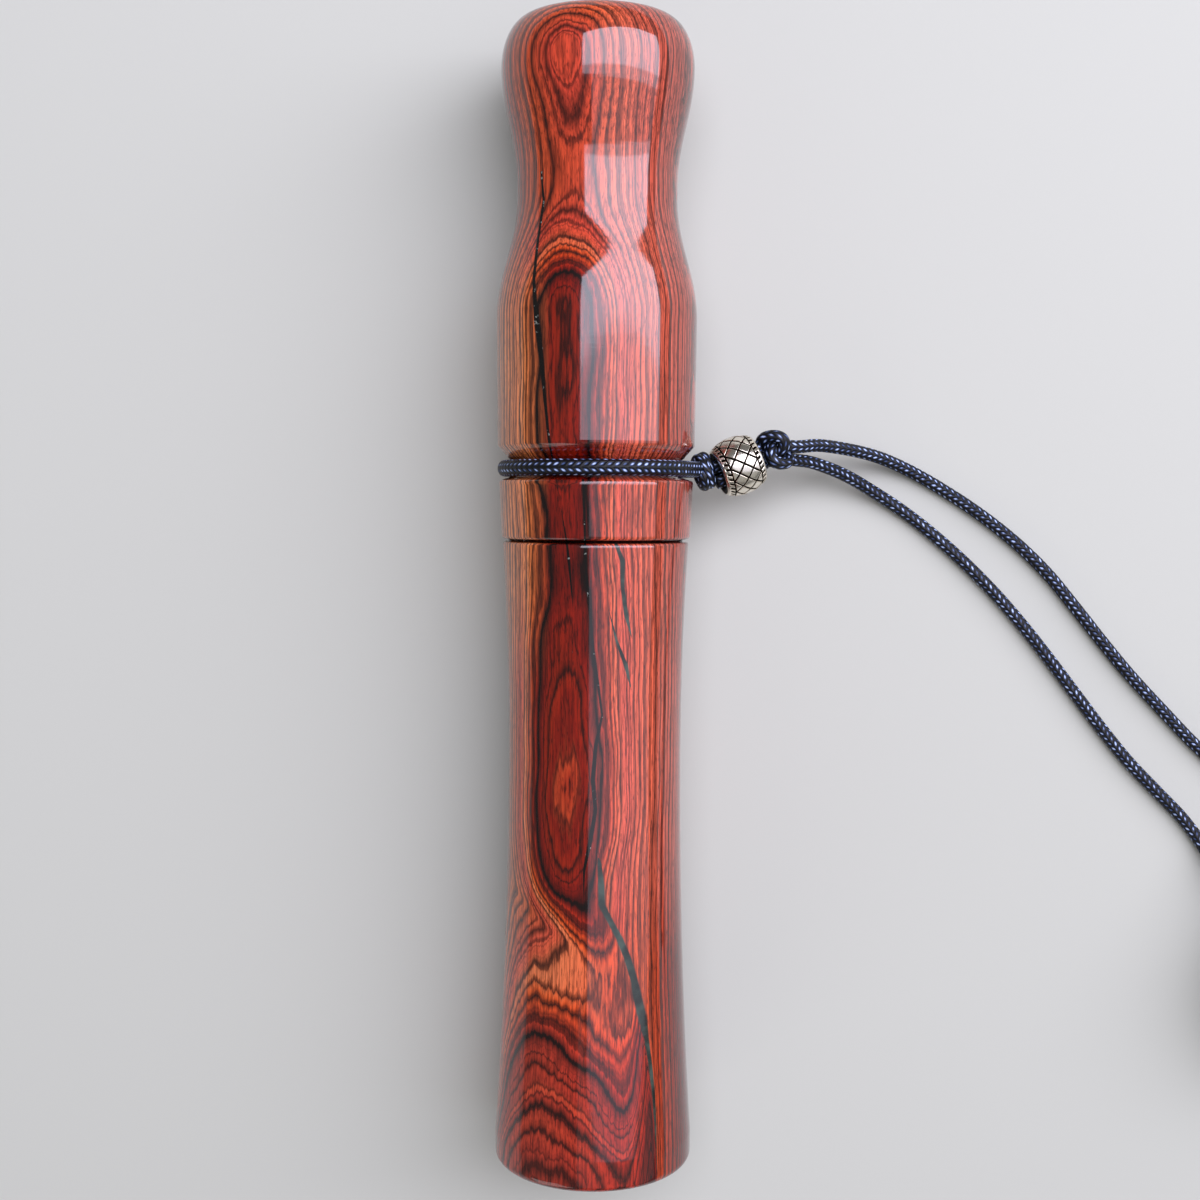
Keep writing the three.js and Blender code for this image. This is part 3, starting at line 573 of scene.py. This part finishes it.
strap_line = even_steps(np.vstack([strap_line, strap_line[:1]]), 0.5)[:-1]
ahead = unit(np.roll(strap_line, -1, axis=0) - np.roll(strap_line, 1, axis=0))
face_out = np.cross(ahead, across)
section = [(-0.5, -0.4), (-0.45, -0.5), (0.45, -0.5), (0.5, -0.4),
           (0.5, 0.4), (0.45, 0.5), (-0.45, 0.5), (-0.5, 0.4)]
strap_points = np.array([[p + across * TIE_WIDTH * a + n * TIE_THICKNESS * b for a, b in section]
                         for p, n in zip(strap_line, face_out)]).reshape(-1, 3)
strap = make_piece("coil_strap", strap_points, join_rings(len(strap_line), len(section)), "mouthpiece",
                   smooth=False)
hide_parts("coil_tie")

# %% [markdown]
# The wood's figure is the hard part. Real growth rings are nearly flat sheets inside the blank, and
# the turned surface cuts them: where it cuts them square on, at the sides, they show as close
# straight lines, and where it grazes them, at the front, they open into arches, tongues and
# teardrops. So the rings are laid out in space, as a depth in millimetres along one direction,
# with a few swellings where the photograph shows an eye or a bend. The same field runs
# through both pieces, so the figure crosses the seam as it does on wood from one blank.

# %% Lay the growth rings through the blank
RING_TILT = -18.0
WAIST_RISE = 2.55
BULB_FALL = 2.1
ARCH_TILT = 43.0
INSIDE_GROOVE = 12.4
BESIDE_GROOVE = 14.8
EYE_EDGE = 12.5
EYE_DEPTH = 12.78


def ease(value, middle, width):
    """Rises smoothly from 0 to 1 round a middle."""
    return 1 / (1 + np.exp(-np.clip((value - middle) / width, -40, 40)))


def bend(value, middle):
    """Stays at 0 up to a middle, and then grows with the value, with a soft bend of about 4."""
    return 4 * np.logaddexp(0, (value - middle) / 4)


def hump(value, middle, reach):
    """A smooth hump, 1 at its middle."""
    return np.exp(-((value - middle) / reach) ** 2)


def sheets(x, z, degrees):
    """The depth among flat ring sheets that are tilted by an angle."""
    return x * np.sin(np.radians(degrees)) + z * np.cos(np.radians(degrees))


RESIN_VEIN = [
    (0.6, -36.3, 0.0), (0.8, -37.3, 0.3), (1.1, -40.7, 0.5), (1.2, -43.6, 0.55), (2.5, -46.1, 0.5),
    (3.8, -48.6, 0.55), (5.0, -51.6, 0.6), (6.0, -55.0, 0.6), (6.6, -58.0, 0.75), (7.3, -60.8, 0.7),
    (7.9, -64.1, 0.35), (8.5, -68.0, 0.3), (9.0, -72.5, 0.25), (9.3, -77.0, 0.15), (9.6, -86.0, 0.0),
]


def along_path(path, y):
    """Gives a crack's sideways place and half width at each y."""
    x_list, y_list, width_list = np.array(path).T[:, ::-1]
    return np.interp(y, y_list, x_list), np.interp(y, y_list, width_list)


def ring_depth(points):
    """The depth of each point among the growth rings, in millimetres.

    The blank's main sheets are joined, on the left of the vein, by the arches of the flare, the
    level band above them and the straight left flank. The deepest of the four shows at each place.
    Through the cord's groove the lines of the surface beside it run straight on. In the bulb the
    depth steps to one value past a dark line, which leaves a plain eye inside it.
    """
    x, y, z = points[:, 0], points[:, 1], points[:, 2] - AXIS
    reach = np.hypot(x, z)
    in_groove = (reach > INSIDE_GROOVE) & (y > groove_foot - 0.45) & (y < groove_top + 1.5)
    spread = np.where(in_groove, BESIDE_GROOVE / np.maximum(reach, 1), 1)
    x, z = x * spread, z * spread
    round_angle = np.degrees(np.arctan2(x, z))
    rise = WAIST_RISE * ease(-y, -3, 8) - BULB_FALL * ease(y, 70, 3) + 0.3 * ease(y, 50, 4)
    rise = rise - 0.51 * np.logaddexp(0, (-37 - y) / 3)
    upper = sheets(x, z, RING_TILT + 30 * ease(-y, 46, 3)) + rise
    arches = 13.8 + 0.8 * (np.hypot(x, z) - 13.8) - 0.1 * (y + 56)
    arches = arches + 2.9 * (np.cos(np.radians(round_angle + ARCH_TILT)) - 1)
    arches = arches + 2.2 * (np.clip(round_angle - 14.6, 0, 20) / 16) ** 2
    arches = arches - 0.036 * bend(-round_angle, 38) - 0.06 * bend(-round_angle, 62)
    arches = arches - 12 * ease(y, -36, 3)
    valley = 13.4 - 9 * ease(-round_angle, 44, 5) - 12 * ease(y, -44, 1.5)
    flank = sheets(x, z, RING_TILT) + 2.4 - 9 * ease(round_angle, -53, 7) - 12 * ease(y, -30, 3)
    left = 0.25 * np.logaddexp.reduce([part / 0.25 for part in (upper, arches, valley, flank)])
    right = sheets(x, z, RING_TILT) + 1.5 + 0.028 * (y + 41)
    beyond = x - along_path(RESIN_VEIN, y)[0]
    past_vein = ease(beyond, 0, 0.12) * ease(-y, 38 - 10 * ease(beyond, 6, 1.5), 3)
    past_vein = past_vein * ease(-abs(round_angle), -130, 12)
    depth = left + (right - left) * past_vein
    in_eye = ease(depth, EYE_EDGE, 0.03) * ease(y, 66, 1.5)
    depth = depth + (EYE_DEPTH - depth) * in_eye
    depth = depth + 0.35 * hump(y, -27, 9) * hump(x, -4.7, 4) + 0.35 * hump(y, 30, 12) * hump(x, -4.7, 6)
    return depth + 0.07 * np.sin(y * 0.21 + x * 0.3) + 0.05 * np.sin(y * 0.53 + 1.3 - x * 0.4)


# %% [markdown]
# Cocobolo moves as it dries, so the blank has opened in fine black checks, and the turner has
# filled the widest with a grey-green resin. Each check is a line of places down the call, with its
# half width. On the mesh it is kept as a share: 0 in its middle and 1 at its edge. The wall inside
# the seam is painted black too, as painted shade for the dark gap between the two pieces.

# %% Open the checks
CHECKS = {
    "check_left": [
        (-8.1, 62.5, 0.12), (-7.7, 58.1, 0.2), (-8.5, 52.3, 0.2), (-9.0, 46.5, 0.25), (-8.6, 40.7, 0.4),
        (-7.8, 35.0, 0.4), (-7.3, 29.3, 0.25), (-6.7, 23.6, 0.2), (-6.4, 21.9, 0.15), (-5.1, 15.1, 0.0),
        (-4.1, 9.0, 0.15), (-3.8, 6.5, 0.2), (-3.4, 2.2, 0.12), (-3.2, -0.1, 0.0),
    ],
    "check_middle": [
        (-1.8, 18.2, 0.18), (-1.6, 13.7, 0.2), (-1.5, 9.8, 0.15), (-1.4, 6.5, 0.15), (-0.8, -0.6, 0.2),
        (-0.2, -6.4, 0.18), (0.6, -12.2, 0.2), (1.1, -15.9, 0.15), (0.2, -20.2, 0.3), (-0.2, -25.3, 0.35),
        (0.2, -29.7, 0.3), (-0.5, -34.1, 0.35), (-1.4, -38.5, 0.2), (-1.5, -42.9, 0.0),
    ],
    "resin_low": RESIN_VEIN,
    "resin_upper": [
        (2.9, 9.0, 0.25), (3.9, 6.5, 0.4), (3.9, 2.9, 0.3), (4.5, -1.4, 0.35), (5.4, -5.1, 0.0),
    ],
    "resin_middle": [(1.8, 0.1, 0.0), (3.1, -5.0, 0.2), (4.5, -8.7, 0.35), (5.3, -12.4, 0.0)],
}
FAR_AWAY = 40
CLOSE = 0.01


def check_share(points, path):
    """How far each point is from a check's middle, as a share of its half width there."""
    x, y, z = points[:, 0], points[:, 1], points[:, 2] - AXIS
    place, width = along_path(path, y)
    inside = (y > path[-1][1]) & (y < path[0][1]) & (z > 0)
    share = (x - place) / np.maximum(width, 0.01)
    outside = np.where(x > place, FAR_AWAY, -FAR_AWAY)
    return np.where(inside, np.clip(share, -FAR_AWAY, FAR_AWAY), outside)


for piece in (mouthpiece, bell):
    places = np.empty(len(piece.data.vertices) * 3)
    piece.data.vertices.foreach_get("co", places)
    places = places.reshape(-1, 3) / MM
    values = {"ring_depth": ring_depth(places)}
    values.update({name: check_share(places, path) for name, path in CHECKS.items()})
    # Painted shade: the seat wall inside the seam takes the middle check's black fill, to stand for the
    # shade in the gap between the pieces.
    on_seat = abs(np.hypot(places[:, 0], places[:, 2] - AXIS) - SEAT_RADIUS * ROUNDNESS) < CLOSE
    seam_shade_band = (places[:, 1] > SHOULDER - CLOSE) & (places[:, 1] < SEAT + CLOSE)
    values["check_middle"][on_seat & seam_shade_band] = 0
    for name, value in values.items():
        piece.data.attributes.new(name, "FLOAT", "POINT").data.foreach_set("value", value)
    depths = values["ring_depth"]
    print(piece.name, "rings from", depths.min().round(1), "to", depths.max().round(1), "mm")

# %% [markdown]
# Materials come next. One function turns a colour as a painter writes it into the linear values
# that the renderer works in, and one adds a node with its settings and its links. The small ones
# after them are for the nodes that are used most.

# %% Helpers for materials
def linear(code):
    """Turns an sRGB hex colour into linear red, green, blue and alpha."""
    values = [int(code[i:i + 2], 16) / 255 for i in (1, 3, 5)]
    return [v / 12.92 if v <= 0.04045 else ((v + 0.055) / 1.055) ** 2.4 for v in values] + [1.0]


def plug(tree, node, inputs):
    """Gives each named input of a node its value, or the link that brings it."""
    for name, value in inputs.items():
        if isinstance(value, bpy.types.NodeSocket):
            tree.links.new(value, node.inputs[name])
        else:
            node.inputs[name].default_value = value


def add_node(tree, kind, settings=None, inputs=None):
    """Adds a node, with its settings, its ramp's stops, and a value or a link for each input."""
    node = tree.nodes.new(kind)
    for name, value in (settings or {}).items():
        if name == "stops":
            elements = node.color_ramp.elements
            while len(elements) < len(value):
                elements.new(0.5)
            for element, (position, colour) in zip(elements, value):
                element.position = position
                element.color = linear(colour) if isinstance(colour, str) else [colour] * 3 + [1]
        else:
            setattr(node, name, value)
    plug(tree, node, inputs or {})
    return node


def new_material(name):
    """Starts a material and returns it, its node tree and its surface shader."""
    material = bpy.data.materials.new(name)
    material.use_nodes = True
    tree = material.node_tree
    return material, tree, tree.nodes["Principled BSDF"]


def compute(tree, operation, *values):
    """Works out one step of arithmetic."""
    return add_node(tree, "ShaderNodeMath", {"operation": operation}, dict(enumerate(values))).outputs[0]


def rescale(tree, value, start, end, low=0.0, high=1.0):
    """Takes a value from one range to another, and holds it at both ends."""
    return add_node(tree, "ShaderNodeMapRange", {}, {
        0: value, 1: start, 2: end, 3: low, 4: high}).outputs[0]


def ramp(tree, value, stops):
    """Turns a value into a colour by a row of stops."""
    return add_node(tree, "ShaderNodeValToRGB", {"stops": stops}, {"Fac": value}).outputs["Color"]


def blend(tree, amount, base, top, mode="MIX"):
    """Lays one colour over another."""
    return add_node(tree, "ShaderNodeMix", {"data_type": "RGBA", "blend_type": mode}, {
        0: amount, 6: base, 7: top}).outputs[2]


def mesh_value(tree, name):
    """Reads a value that the mesh holds at its points."""
    return add_node(tree, "ShaderNodeAttribute", {"attribute_name": name}).outputs["Fac"]


def object_place(tree):
    """Reads the place on the object, in metres."""
    return add_node(tree, "ShaderNodeTexCoord").outputs["Object"]


def noise(tree, place, scale, detail):
    """Cloudy noise in space."""
    return add_node(tree, "ShaderNodeTexNoise", {}, {
        "Vector": place, "Scale": scale, "Detail": detail}).outputs["Fac"]


def stretched_noise(tree, place, width_mm, length_mm, detail):
    """Noise with grains of one size across the call and another along it."""
    scale = (1 / (width_mm * MM), 1 / (length_mm * MM), 1 / (width_mm * MM))
    mapping = add_node(tree, "ShaderNodeMapping", {}, {"Vector": place, "Scale": scale})
    return noise(tree, mapping.outputs["Vector"], 1.0, detail)


def relief(tree, height, distance_mm, strength):
    """Tilts a surface by a height, as shallow relief does."""
    return add_node(tree, "ShaderNodeBump", {}, {
        "Height": height, "Distance": distance_mm * MM, "Strength": strength}).outputs["Normal"]


# %% [markdown]
# Cocobolo is an oily rosewood: orange and red heartwood with near-black ink lines of uneven width.
# The turner sands it fine and builds up a thick clear lacquer, which gives two surfaces: satin wood
# that holds the colour, and a hard glossy coat over it that mirrors the lights. Lacquer soaks into
# the wood, so the wood under it hardly shines by itself, and its blacks stay deep.
#
# An ink line lies at one depth among the rings, so it keeps its look all along its ring. The lines
# that the photograph shows, at the front and the sides, are listed. The back isn't seen, and
# its lines come from noise along the depth. The heartwood's tone is a ramp along the depth too, with
# a few patches where one side of the blank is paler or redder.

# %% List the rings and tones of the rosewood
FRONT_RINGS = [
    (12.4, 0.1, 0.85), (13.2, 0.08, 0.85), (13.55, 0.03, 0.5), (13.82, 0.08, 0.95), (14.2, 0.08, 0.9),
    (14.67, 0.15, 1.0), (15.35, 0.06, 0.8), (16.2, 0.11, 0.95), (16.7, 0.07, 0.7), (17.3, 0.1, 0.8),
]
FRONT_START = 12.0
FRONT_RANGE = 5.7
FRONT_SPREAD = 1.8
SIDE_RINGS = [
    (4.1, 0.14, 0.85), (5.1, 0.17, 0.95), (6.0, 0.12, 0.85), (6.9, 0.17, 0.95), (7.8, 0.12, 0.9),
    (8.7, 0.26, 0.85), (9.5, 0.1, 0.75), (10.3, 0.16, 0.95), (11.0, 0.08, 0.7), (11.65, 0.12, 0.95),
]
SIDE_START = 3.5
SIDE_RANGE = 8.5
SIDE_SPREAD = 2.0
HEART_TONES = [
    (3.0, "#771d10"), (6.0, "#b34520"), (8.5, "#d86631"), (10.0, "#e97738"), (11.5, "#e36a38"),
    (12.6, "#dc573c"), (13.0, "#e1603c"), (13.4, "#fa8953"), (13.7, "#e15c1f"), (14.3, "#c13213"),
    (14.6, "#7e1408"), (15.0, "#861809"), (15.4, "#9f270c"), (15.62, "#821607"), (15.8, "#bf4521"),
    (15.98, "#821607"), (16.2, "#8d1f0a"), (16.6, "#a52f11"), (17.0, "#7a1508"), (17.5, "#500904"),
]
HEART_START = 3.0
HEART_RANGE = 14.5
# Each patch is a tint, its strength, and the stretches, in mm along an axis, over which it comes in. The
# pale one on the right side is painted light from the window, not a tone of the wood.
TINTS_AND_PAINTED_LIGHT = [
    ("#ff9a54", 0.7, [("X", -6.5, -10.5), ("Y", -12.0, 4.0), ("Y", 54.0, 44.0)]),
    # Painted light: this pale patch brightens the right side, where the window lights it.
    ("#ffa081", 0.4, [("X", -1.0, 4.0), ("Y", -54.0, -38.0)]),
    ("#e14f36", 0.4, [("Y", -52.0, -66.0), ("X", 9.0, 6.0)]),
]
INK = "#0e0201"
RED_STAIN = "#f2bcb8"
FIBRE_WOBBLE = 0.26
WAVE_WOBBLE = 0.4
print("rings listed:", len(FRONT_RINGS) + len(SIDE_RINGS))


def ring_stops(rings, start, length, spread):
    """Turns a list of rings, each a depth, half width and strength, into a ramp's stops."""
    stops = []
    for depth, half_width, strength in rings:
        place = (depth - start) / length
        reach = half_width * spread / length
        stops += [(place - reach, 0.0), (place, strength), (place + reach, 0.0)]
    return stops


# %% Lacquer the rosewood
def wavering_depth(tree, place):
    """The ring depth with the waver of the fibres, in millimetres."""
    fibre = stretched_noise(tree, place, 0.5, 5.0, 3.0)
    wave = stretched_noise(tree, place, 3.5, 20.0, 2.0)
    shifted = compute(tree, "MULTIPLY_ADD", fibre, FIBRE_WOBBLE, mesh_value(tree, "ring_depth"))
    shifted = compute(tree, "MULTIPLY_ADD", wave, WAVE_WOBBLE, shifted)
    return compute(tree, "SUBTRACT", shifted, (FIBRE_WOBBLE + WAVE_WOBBLE) / 2)


def ink_share(tree, depth, sideways):
    """How much ink lies at each depth: full in a line's middle, and a little less in front."""
    front = ramp(tree, rescale(tree, depth, FRONT_START, FRONT_START + FRONT_RANGE),
                 ring_stops(FRONT_RINGS, FRONT_START, FRONT_RANGE, FRONT_SPREAD))
    side = ramp(tree, rescale(tree, depth, SIDE_START, SIDE_START + SIDE_RANGE),
                ring_stops(SIDE_RINGS, SIDE_START, SIDE_RANGE, SIDE_SPREAD))
    back_noise = add_node(tree, "ShaderNodeTexNoise", {"noise_dimensions": "1D"}, {
        "W": depth, "Scale": 1.5, "Detail": 2.0, "Roughness": 0.6}).outputs["Fac"]
    back_lines = ramp(tree, back_noise, [(0.45, 0.0), (0.48, 0.9), (0.5, 0.9), (0.53, 0.0)])
    back = compute(tree, "MULTIPLY", back_lines, rescale(tree, depth, 3.6, 3.2))
    ink = compute(tree, "MAXIMUM", compute(tree, "MAXIMUM", front, side), back)
    strength = ramp(tree, rescale(tree, sideways, -15 * MM, 15 * MM), [
        (0.5, 1.0), (0.6, 0.85), (0.76, 0.85), (0.86, 1.0)])
    return compute(tree, "MULTIPLY", ink, strength)


def heartwood(tree, depth, axes):
    """The colour between the lines, with its patches, one of them painted window light on the right side,
    and its fine streaks along the rings.
    """
    colour = ramp(tree, rescale(tree, depth, HEART_START, HEART_START + HEART_RANGE), [
        ((tone - HEART_START) / HEART_RANGE, code) for tone, code in HEART_TONES])
    for tint, strength, edges in TINTS_AND_PAINTED_LIGHT:
        share = strength
        for axis, start, end in edges:
            part = rescale(tree, axes.outputs[axis], start * MM, end * MM)
            share = compute(tree, "MULTIPLY", share, part)
        colour = blend(tree, share, colour, linear(tint))
    streaks = add_node(tree, "ShaderNodeTexNoise", {"noise_dimensions": "1D"}, {
        "W": depth, "Scale": 5.0, "Detail": 2.0}).outputs["Fac"]
    shade = ramp(tree, streaks, [(0.34, 0.3), (0.47, 0.82), (0.6, 1.0)])
    return blend(tree, 1.0, colour, shade, "MULTIPLY")


def fill_checks(tree, place, surface):
    """Lays the fill of each check over the wood: black dust with painted glints of light in it, or
    clouded resin.
    """
    # The pale grey flecks in the black fill are painted glints, highlights drawn into the colour.
    dust_and_painted_glints = ramp(tree, noise(tree, place, 1100.0, 2.0), [(0.66, "#050302"), (0.72, "#7d827a")])
    resin = ramp(tree, noise(tree, place, 350.0, 2.0), [
        (0.35, "#0f1511"), (0.5, "#1f2a23"), (0.65, "#37453c")])
    for name in CHECKS:
        from_middle = compute(tree, "ABSOLUTE", mesh_value(tree, name))
        fill = resin if name.startswith("resin") else dust_and_painted_glints
        surface = blend(tree, rescale(tree, from_middle, 1.15, 0.75), surface, fill)
    return surface


def rosewood():
    """Turned cocobolo with filled checks, under gloss lacquer."""
    material, tree, shader = new_material("cocobolo_under_gloss_lacquer")
    place = object_place(tree)
    axes = add_node(tree, "ShaderNodeSeparateXYZ", {}, {0: place})
    depth = wavering_depth(tree, place)
    ink = ink_share(tree, depth, axes.outputs["X"])
    surface = blend(tree, ink, heartwood(tree, depth, axes), linear(INK))
    pores = ramp(tree, stretched_noise(tree, place, 0.17, 1.6, 2.0), [(0.34, 0.45), (0.45, 1.0)])
    surface = blend(tree, 1.0, surface, pores, "MULTIPLY")
    fibres = ramp(tree, stretched_noise(tree, place, 0.28, 9.0, 2.0), [(0.36, 0.5), (0.56, 1.0)])
    surface = blend(tree, 1.0, surface, fibres, "MULTIPLY")
    right_side = rescale(tree, axes.outputs["X"], -7 * MM, 3 * MM)
    bulb_end = rescale(tree, axes.outputs["Y"], 36 * MM, 52 * MM, 0.0, 0.85)
    redder = compute(tree, "MAXIMUM", right_side, bulb_end)
    surface = blend(tree, redder, surface, linear(RED_STAIN), "MULTIPLY")
    lathe_marks = stretched_noise(tree, place, 12, 0.45, 2.0)
    plug(tree, shader, {
        "Base Color": fill_checks(tree, place, surface), "Roughness": 0.42, "Specular IOR Level": 0.08,
        "Coat Weight": 1.0, "Coat Roughness": 0.07, "Coat IOR": 1.62,
        "Coat Normal": relief(tree, lathe_marks, 0.006, 0.35)})
    return material


wood = rosewood()
for piece in (mouthpiece, bell):
    piece.data.materials.append(wood)
print("nodes in the wood:", len(wood.node_tree.nodes))

# %% [markdown]
# The cord is braided nylon, near-black navy, with a painted pale sheen on the crown of each stitch.
# In a braid the yarns cross in rows of little slanting stitches, leaning left in one row and right in
# the next. The stitch is drawn in the cord's own UV map, eight rows round it and one stitch to the
# millimetre, as the photograph shows.

# %% Braid the cord
BRAID_ROWS = 8
STITCH = 1.05
LEAN = 0.75
STAGGER = 0.25


def braided_nylon():
    """A braid whose stitches stand proud, each with a painted sheen on its crown at its own strength."""
    material, tree, shader = new_material("braided_nylon_cord")
    uv = add_node(tree, "ShaderNodeUVMap", {"uv_map": "braid"})
    split = add_node(tree, "ShaderNodeSeparateXYZ", {}, {0: uv.outputs["UV"]})
    rows = compute(tree, "MULTIPLY", split.outputs["X"], BRAID_ROWS)
    row = compute(tree, "FLOOR", rows)
    in_row = compute(tree, "FRACT", rows)
    lean = compute(tree, "MULTIPLY_ADD", compute(tree, "MODULO", row, 2.0), -2 * LEAN, LEAN)
    along = compute(tree, "MULTIPLY", split.outputs["Y"], 1 / STITCH)
    slant = compute(tree, "MULTIPLY_ADD", in_row, lean, along)
    stagger = compute(tree, "MULTIPLY_ADD", row, STAGGER, slant)
    yarn = compute(tree, "SINE", compute(tree, "MULTIPLY", compute(tree, "FRACT", stagger), math.pi))
    edge = compute(tree, "SINE", compute(tree, "MULTIPLY", in_row, math.pi))
    height = compute(tree, "MULTIPLY", yarn, edge)
    stitch = add_node(tree, "ShaderNodeCombineXYZ", {}, {0: compute(tree, "FLOOR", stagger), 1: row})
    chance = add_node(tree, "ShaderNodeTexWhiteNoise", {"noise_dimensions": "2D"}, {0: stitch.outputs[0]})
    painted_sheen_strength = compute(tree, "MULTIPLY_ADD", chance.outputs["Value"], 0.3, 0.7)
    # Painted sheen: the crown of each stitch is drawn pale blue, brighter on some stitches than on
    # others.
    tint = ramp(tree, compute(tree, "MULTIPLY", height, painted_sheen_strength), [
        (0.3, "#020307"), (0.5, "#060914"), (0.7, "#3b4d78"), (0.88, "#b4c6e8")])
    plug(tree, shader, {"Base Color": tint, "Normal": relief(tree, height, 0.12, 0.9),
                        "Roughness": 0.5, "Specular IOR Level": 0.3})
    return material


nylon = braided_nylon()
for piece in [neck_loop, noose, noose_knot, stopper_knot] + bead_cords:
    piece.data.materials.append(nylon)

# %% [markdown]
# The bead is pewter-like casting metal under a thin silver plate. It is dipped in a darkener and
# then rubbed, so it is black in its cuts and bright on its high places, with a warm tone between.

# %% Darken and rub the bead
def antique_silver():
    """Silver plate, dark and rough in its cuts, bright and smooth on its high places."""
    material, tree, shader = new_material("antique_silver_plate")
    rub = noise(tree, object_place(tree), 900.0, 4.0)
    dark = compute(tree, "MULTIPLY_ADD", rub, 0.35, mesh_value(tree, "tarnish"))
    colour = ramp(tree, dark, [(0.18, "#ebe4d6"), (0.36, "#d0c2a6"), (0.55, "#5b4e3c"), (0.8, "#0d0b0a")])
    plug(tree, shader, {"Base Color": colour, "Roughness": rescale(tree, dark, 0.2, 0.8, 0.2, 0.6),
                        "Metallic": 1.0})
    return material


silver = antique_silver()
bead.data.materials.append(silver)
print("bead finished in", silver.name)

# %% [markdown]
# Inside are plain shop materials: nitrile rubber, moulded ABS, polyester film and cork. The strap
# of the coil is woven polyester.

# %% Finish the inner pieces
def speckled(name, low, high, grain_mm, roughness, bump_mm):
    """A material with a soft two-tone grain and a matching fine relief."""
    material, tree, shader = new_material(name)
    grain = noise(tree, object_place(tree), 1 / (grain_mm * MM), 4.0)
    plug(tree, shader, {"Base Color": ramp(tree, grain, [(0.35, low), (0.65, high)]),
                        "Normal": relief(tree, grain, bump_mm, 0.5), "Roughness": roughness})
    return material


rubber = speckled("moulded_nitrile_rubber", "#0d0d0e", "#1a1a1b", 0.4, 0.55, 0.02)
abs_plastic = speckled("moulded_abs", "#131416", "#1d1e21", 0.8, 0.28, 0.01)
cork = speckled("cut_cork", "#8a5a30", "#c99a68", 0.7, 0.85, 0.08)
film = speckled("polyester_reed_film", "#cfcab4", "#e6e1cf", 1.5, 0.3, 0.005)
webbing = speckled("woven_polyester_strap", "#0b0b0d", "#222328", 0.25, 0.8, 0.05)
strap.data.materials.append(webbing)
for ring in moulded_rings:
    ring.data.materials.append(rubber)


def refinish(node, material):
    """Gives a piece of the frame a new material in its own slots."""
    for material_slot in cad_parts[node].material_slots:
        material_slot.material = material


for node, material in (("tone_board", abs_plastic), ("reed", film), ("reed_wedge", cork),
                       ("tuning_ring", rubber)):
    refinish(node, material)
    print(node, "finished in", material.name)

# %% [markdown]
# The stage is a plain pale floor under plain soft light. The big soft light stands on the right,
# towards the mouth end, where the window stood that the photograph's gloss mirrors. Below it in the
# same plane hang dimmer ones, because the gloss mirrors a sill and a wall further down the call.

# %% Lay the floor
FLOOR_HALF = 3.0
floor_mesh = bpy.data.meshes.new("floor")
floor_corners = [(FLOOR_HALF * a, FLOOR_HALF * b, 0) for a, b in ((-1, -1), (1, -1), (1, 1), (-1, 1))]
floor_mesh.from_pydata(floor_corners, [], [(0, 1, 2, 3)])
floor = bpy.data.objects.new("floor", floor_mesh)
bpy.context.collection.objects.link(floor)
floor_paint, floor_tree, floor_shader = new_material("matt_floor_paint")
plug(floor_tree, floor_shader, {"Base Color": linear("#bbbbb0"), "Roughness": 0.8})
floor_mesh.materials.append(floor_paint)
print("floor", 2 * FLOOR_HALF, "m across")

# %% Hang the lights
def soft_light(name, place, facing, width, height, radiance, colour="#ffffff"):
    """Hangs a flat soft light, in millimetres, facing along a direction with its height along Y."""
    data = bpy.data.lights.new(name, "AREA")
    data.shape = "RECTANGLE"
    data.size = width * MM
    data.size_y = height * MM
    data.energy = radiance * math.pi * width * height * MM * MM
    data.color = linear(colour)[:3]
    light = bpy.data.objects.new(name, data)
    bpy.context.collection.objects.link(light)
    back = -Vector(facing).normalized()
    side = Vector((0, 1, 0)).cross(back).normalized()
    turn = Matrix((side, back.cross(side), back)).transposed().to_4x4()
    light.matrix_world = Matrix.Translation(Vector(place) * MM) @ turn
    print(name, "at", place)


PANEL_ANGLE = math.radians(29)
PANEL_DISTANCE = 846
PANEL_WIDTH = 1814
WINDOW_BLUE = "#ebebff"
panel_facing = (-math.sin(PANEL_ANGLE), 0, -math.cos(PANEL_ANGLE))
panel_x = PANEL_DISTANCE * math.sin(PANEL_ANGLE)
panel_z = AXIS + PANEL_DISTANCE * math.cos(PANEL_ANGLE)
soft_light("window_panel", (panel_x, 426, panel_z), panel_facing, PANEL_WIDTH, 627, 6.1, WINDOW_BLUE)
soft_light("sill_panel", (panel_x, 66, panel_z), panel_facing, PANEL_WIDTH, 93, 3.0, WINDOW_BLUE)
soft_light("wall_panel", (panel_x + 122, -155, panel_z - 68), panel_facing, 1534, 350, 1.0, WINDOW_BLUE)
soft_light("dim_panel", (panel_x, -915, panel_z), panel_facing, PANEL_WIDTH, 1170, 0.24)
soft_light("left_fill", (-560, -760, 330), (560, 760, -330), 560, 560, 1.2)
world = bpy.data.worlds.new("studio")
world.use_nodes = True
plug(world.node_tree, world.node_tree.nodes["Background"], {
    "Color": linear("#dadada"), "Strength": 0.22})
bpy.context.scene.world = world
bpy.context.scene.view_settings.view_transform = "Standard"
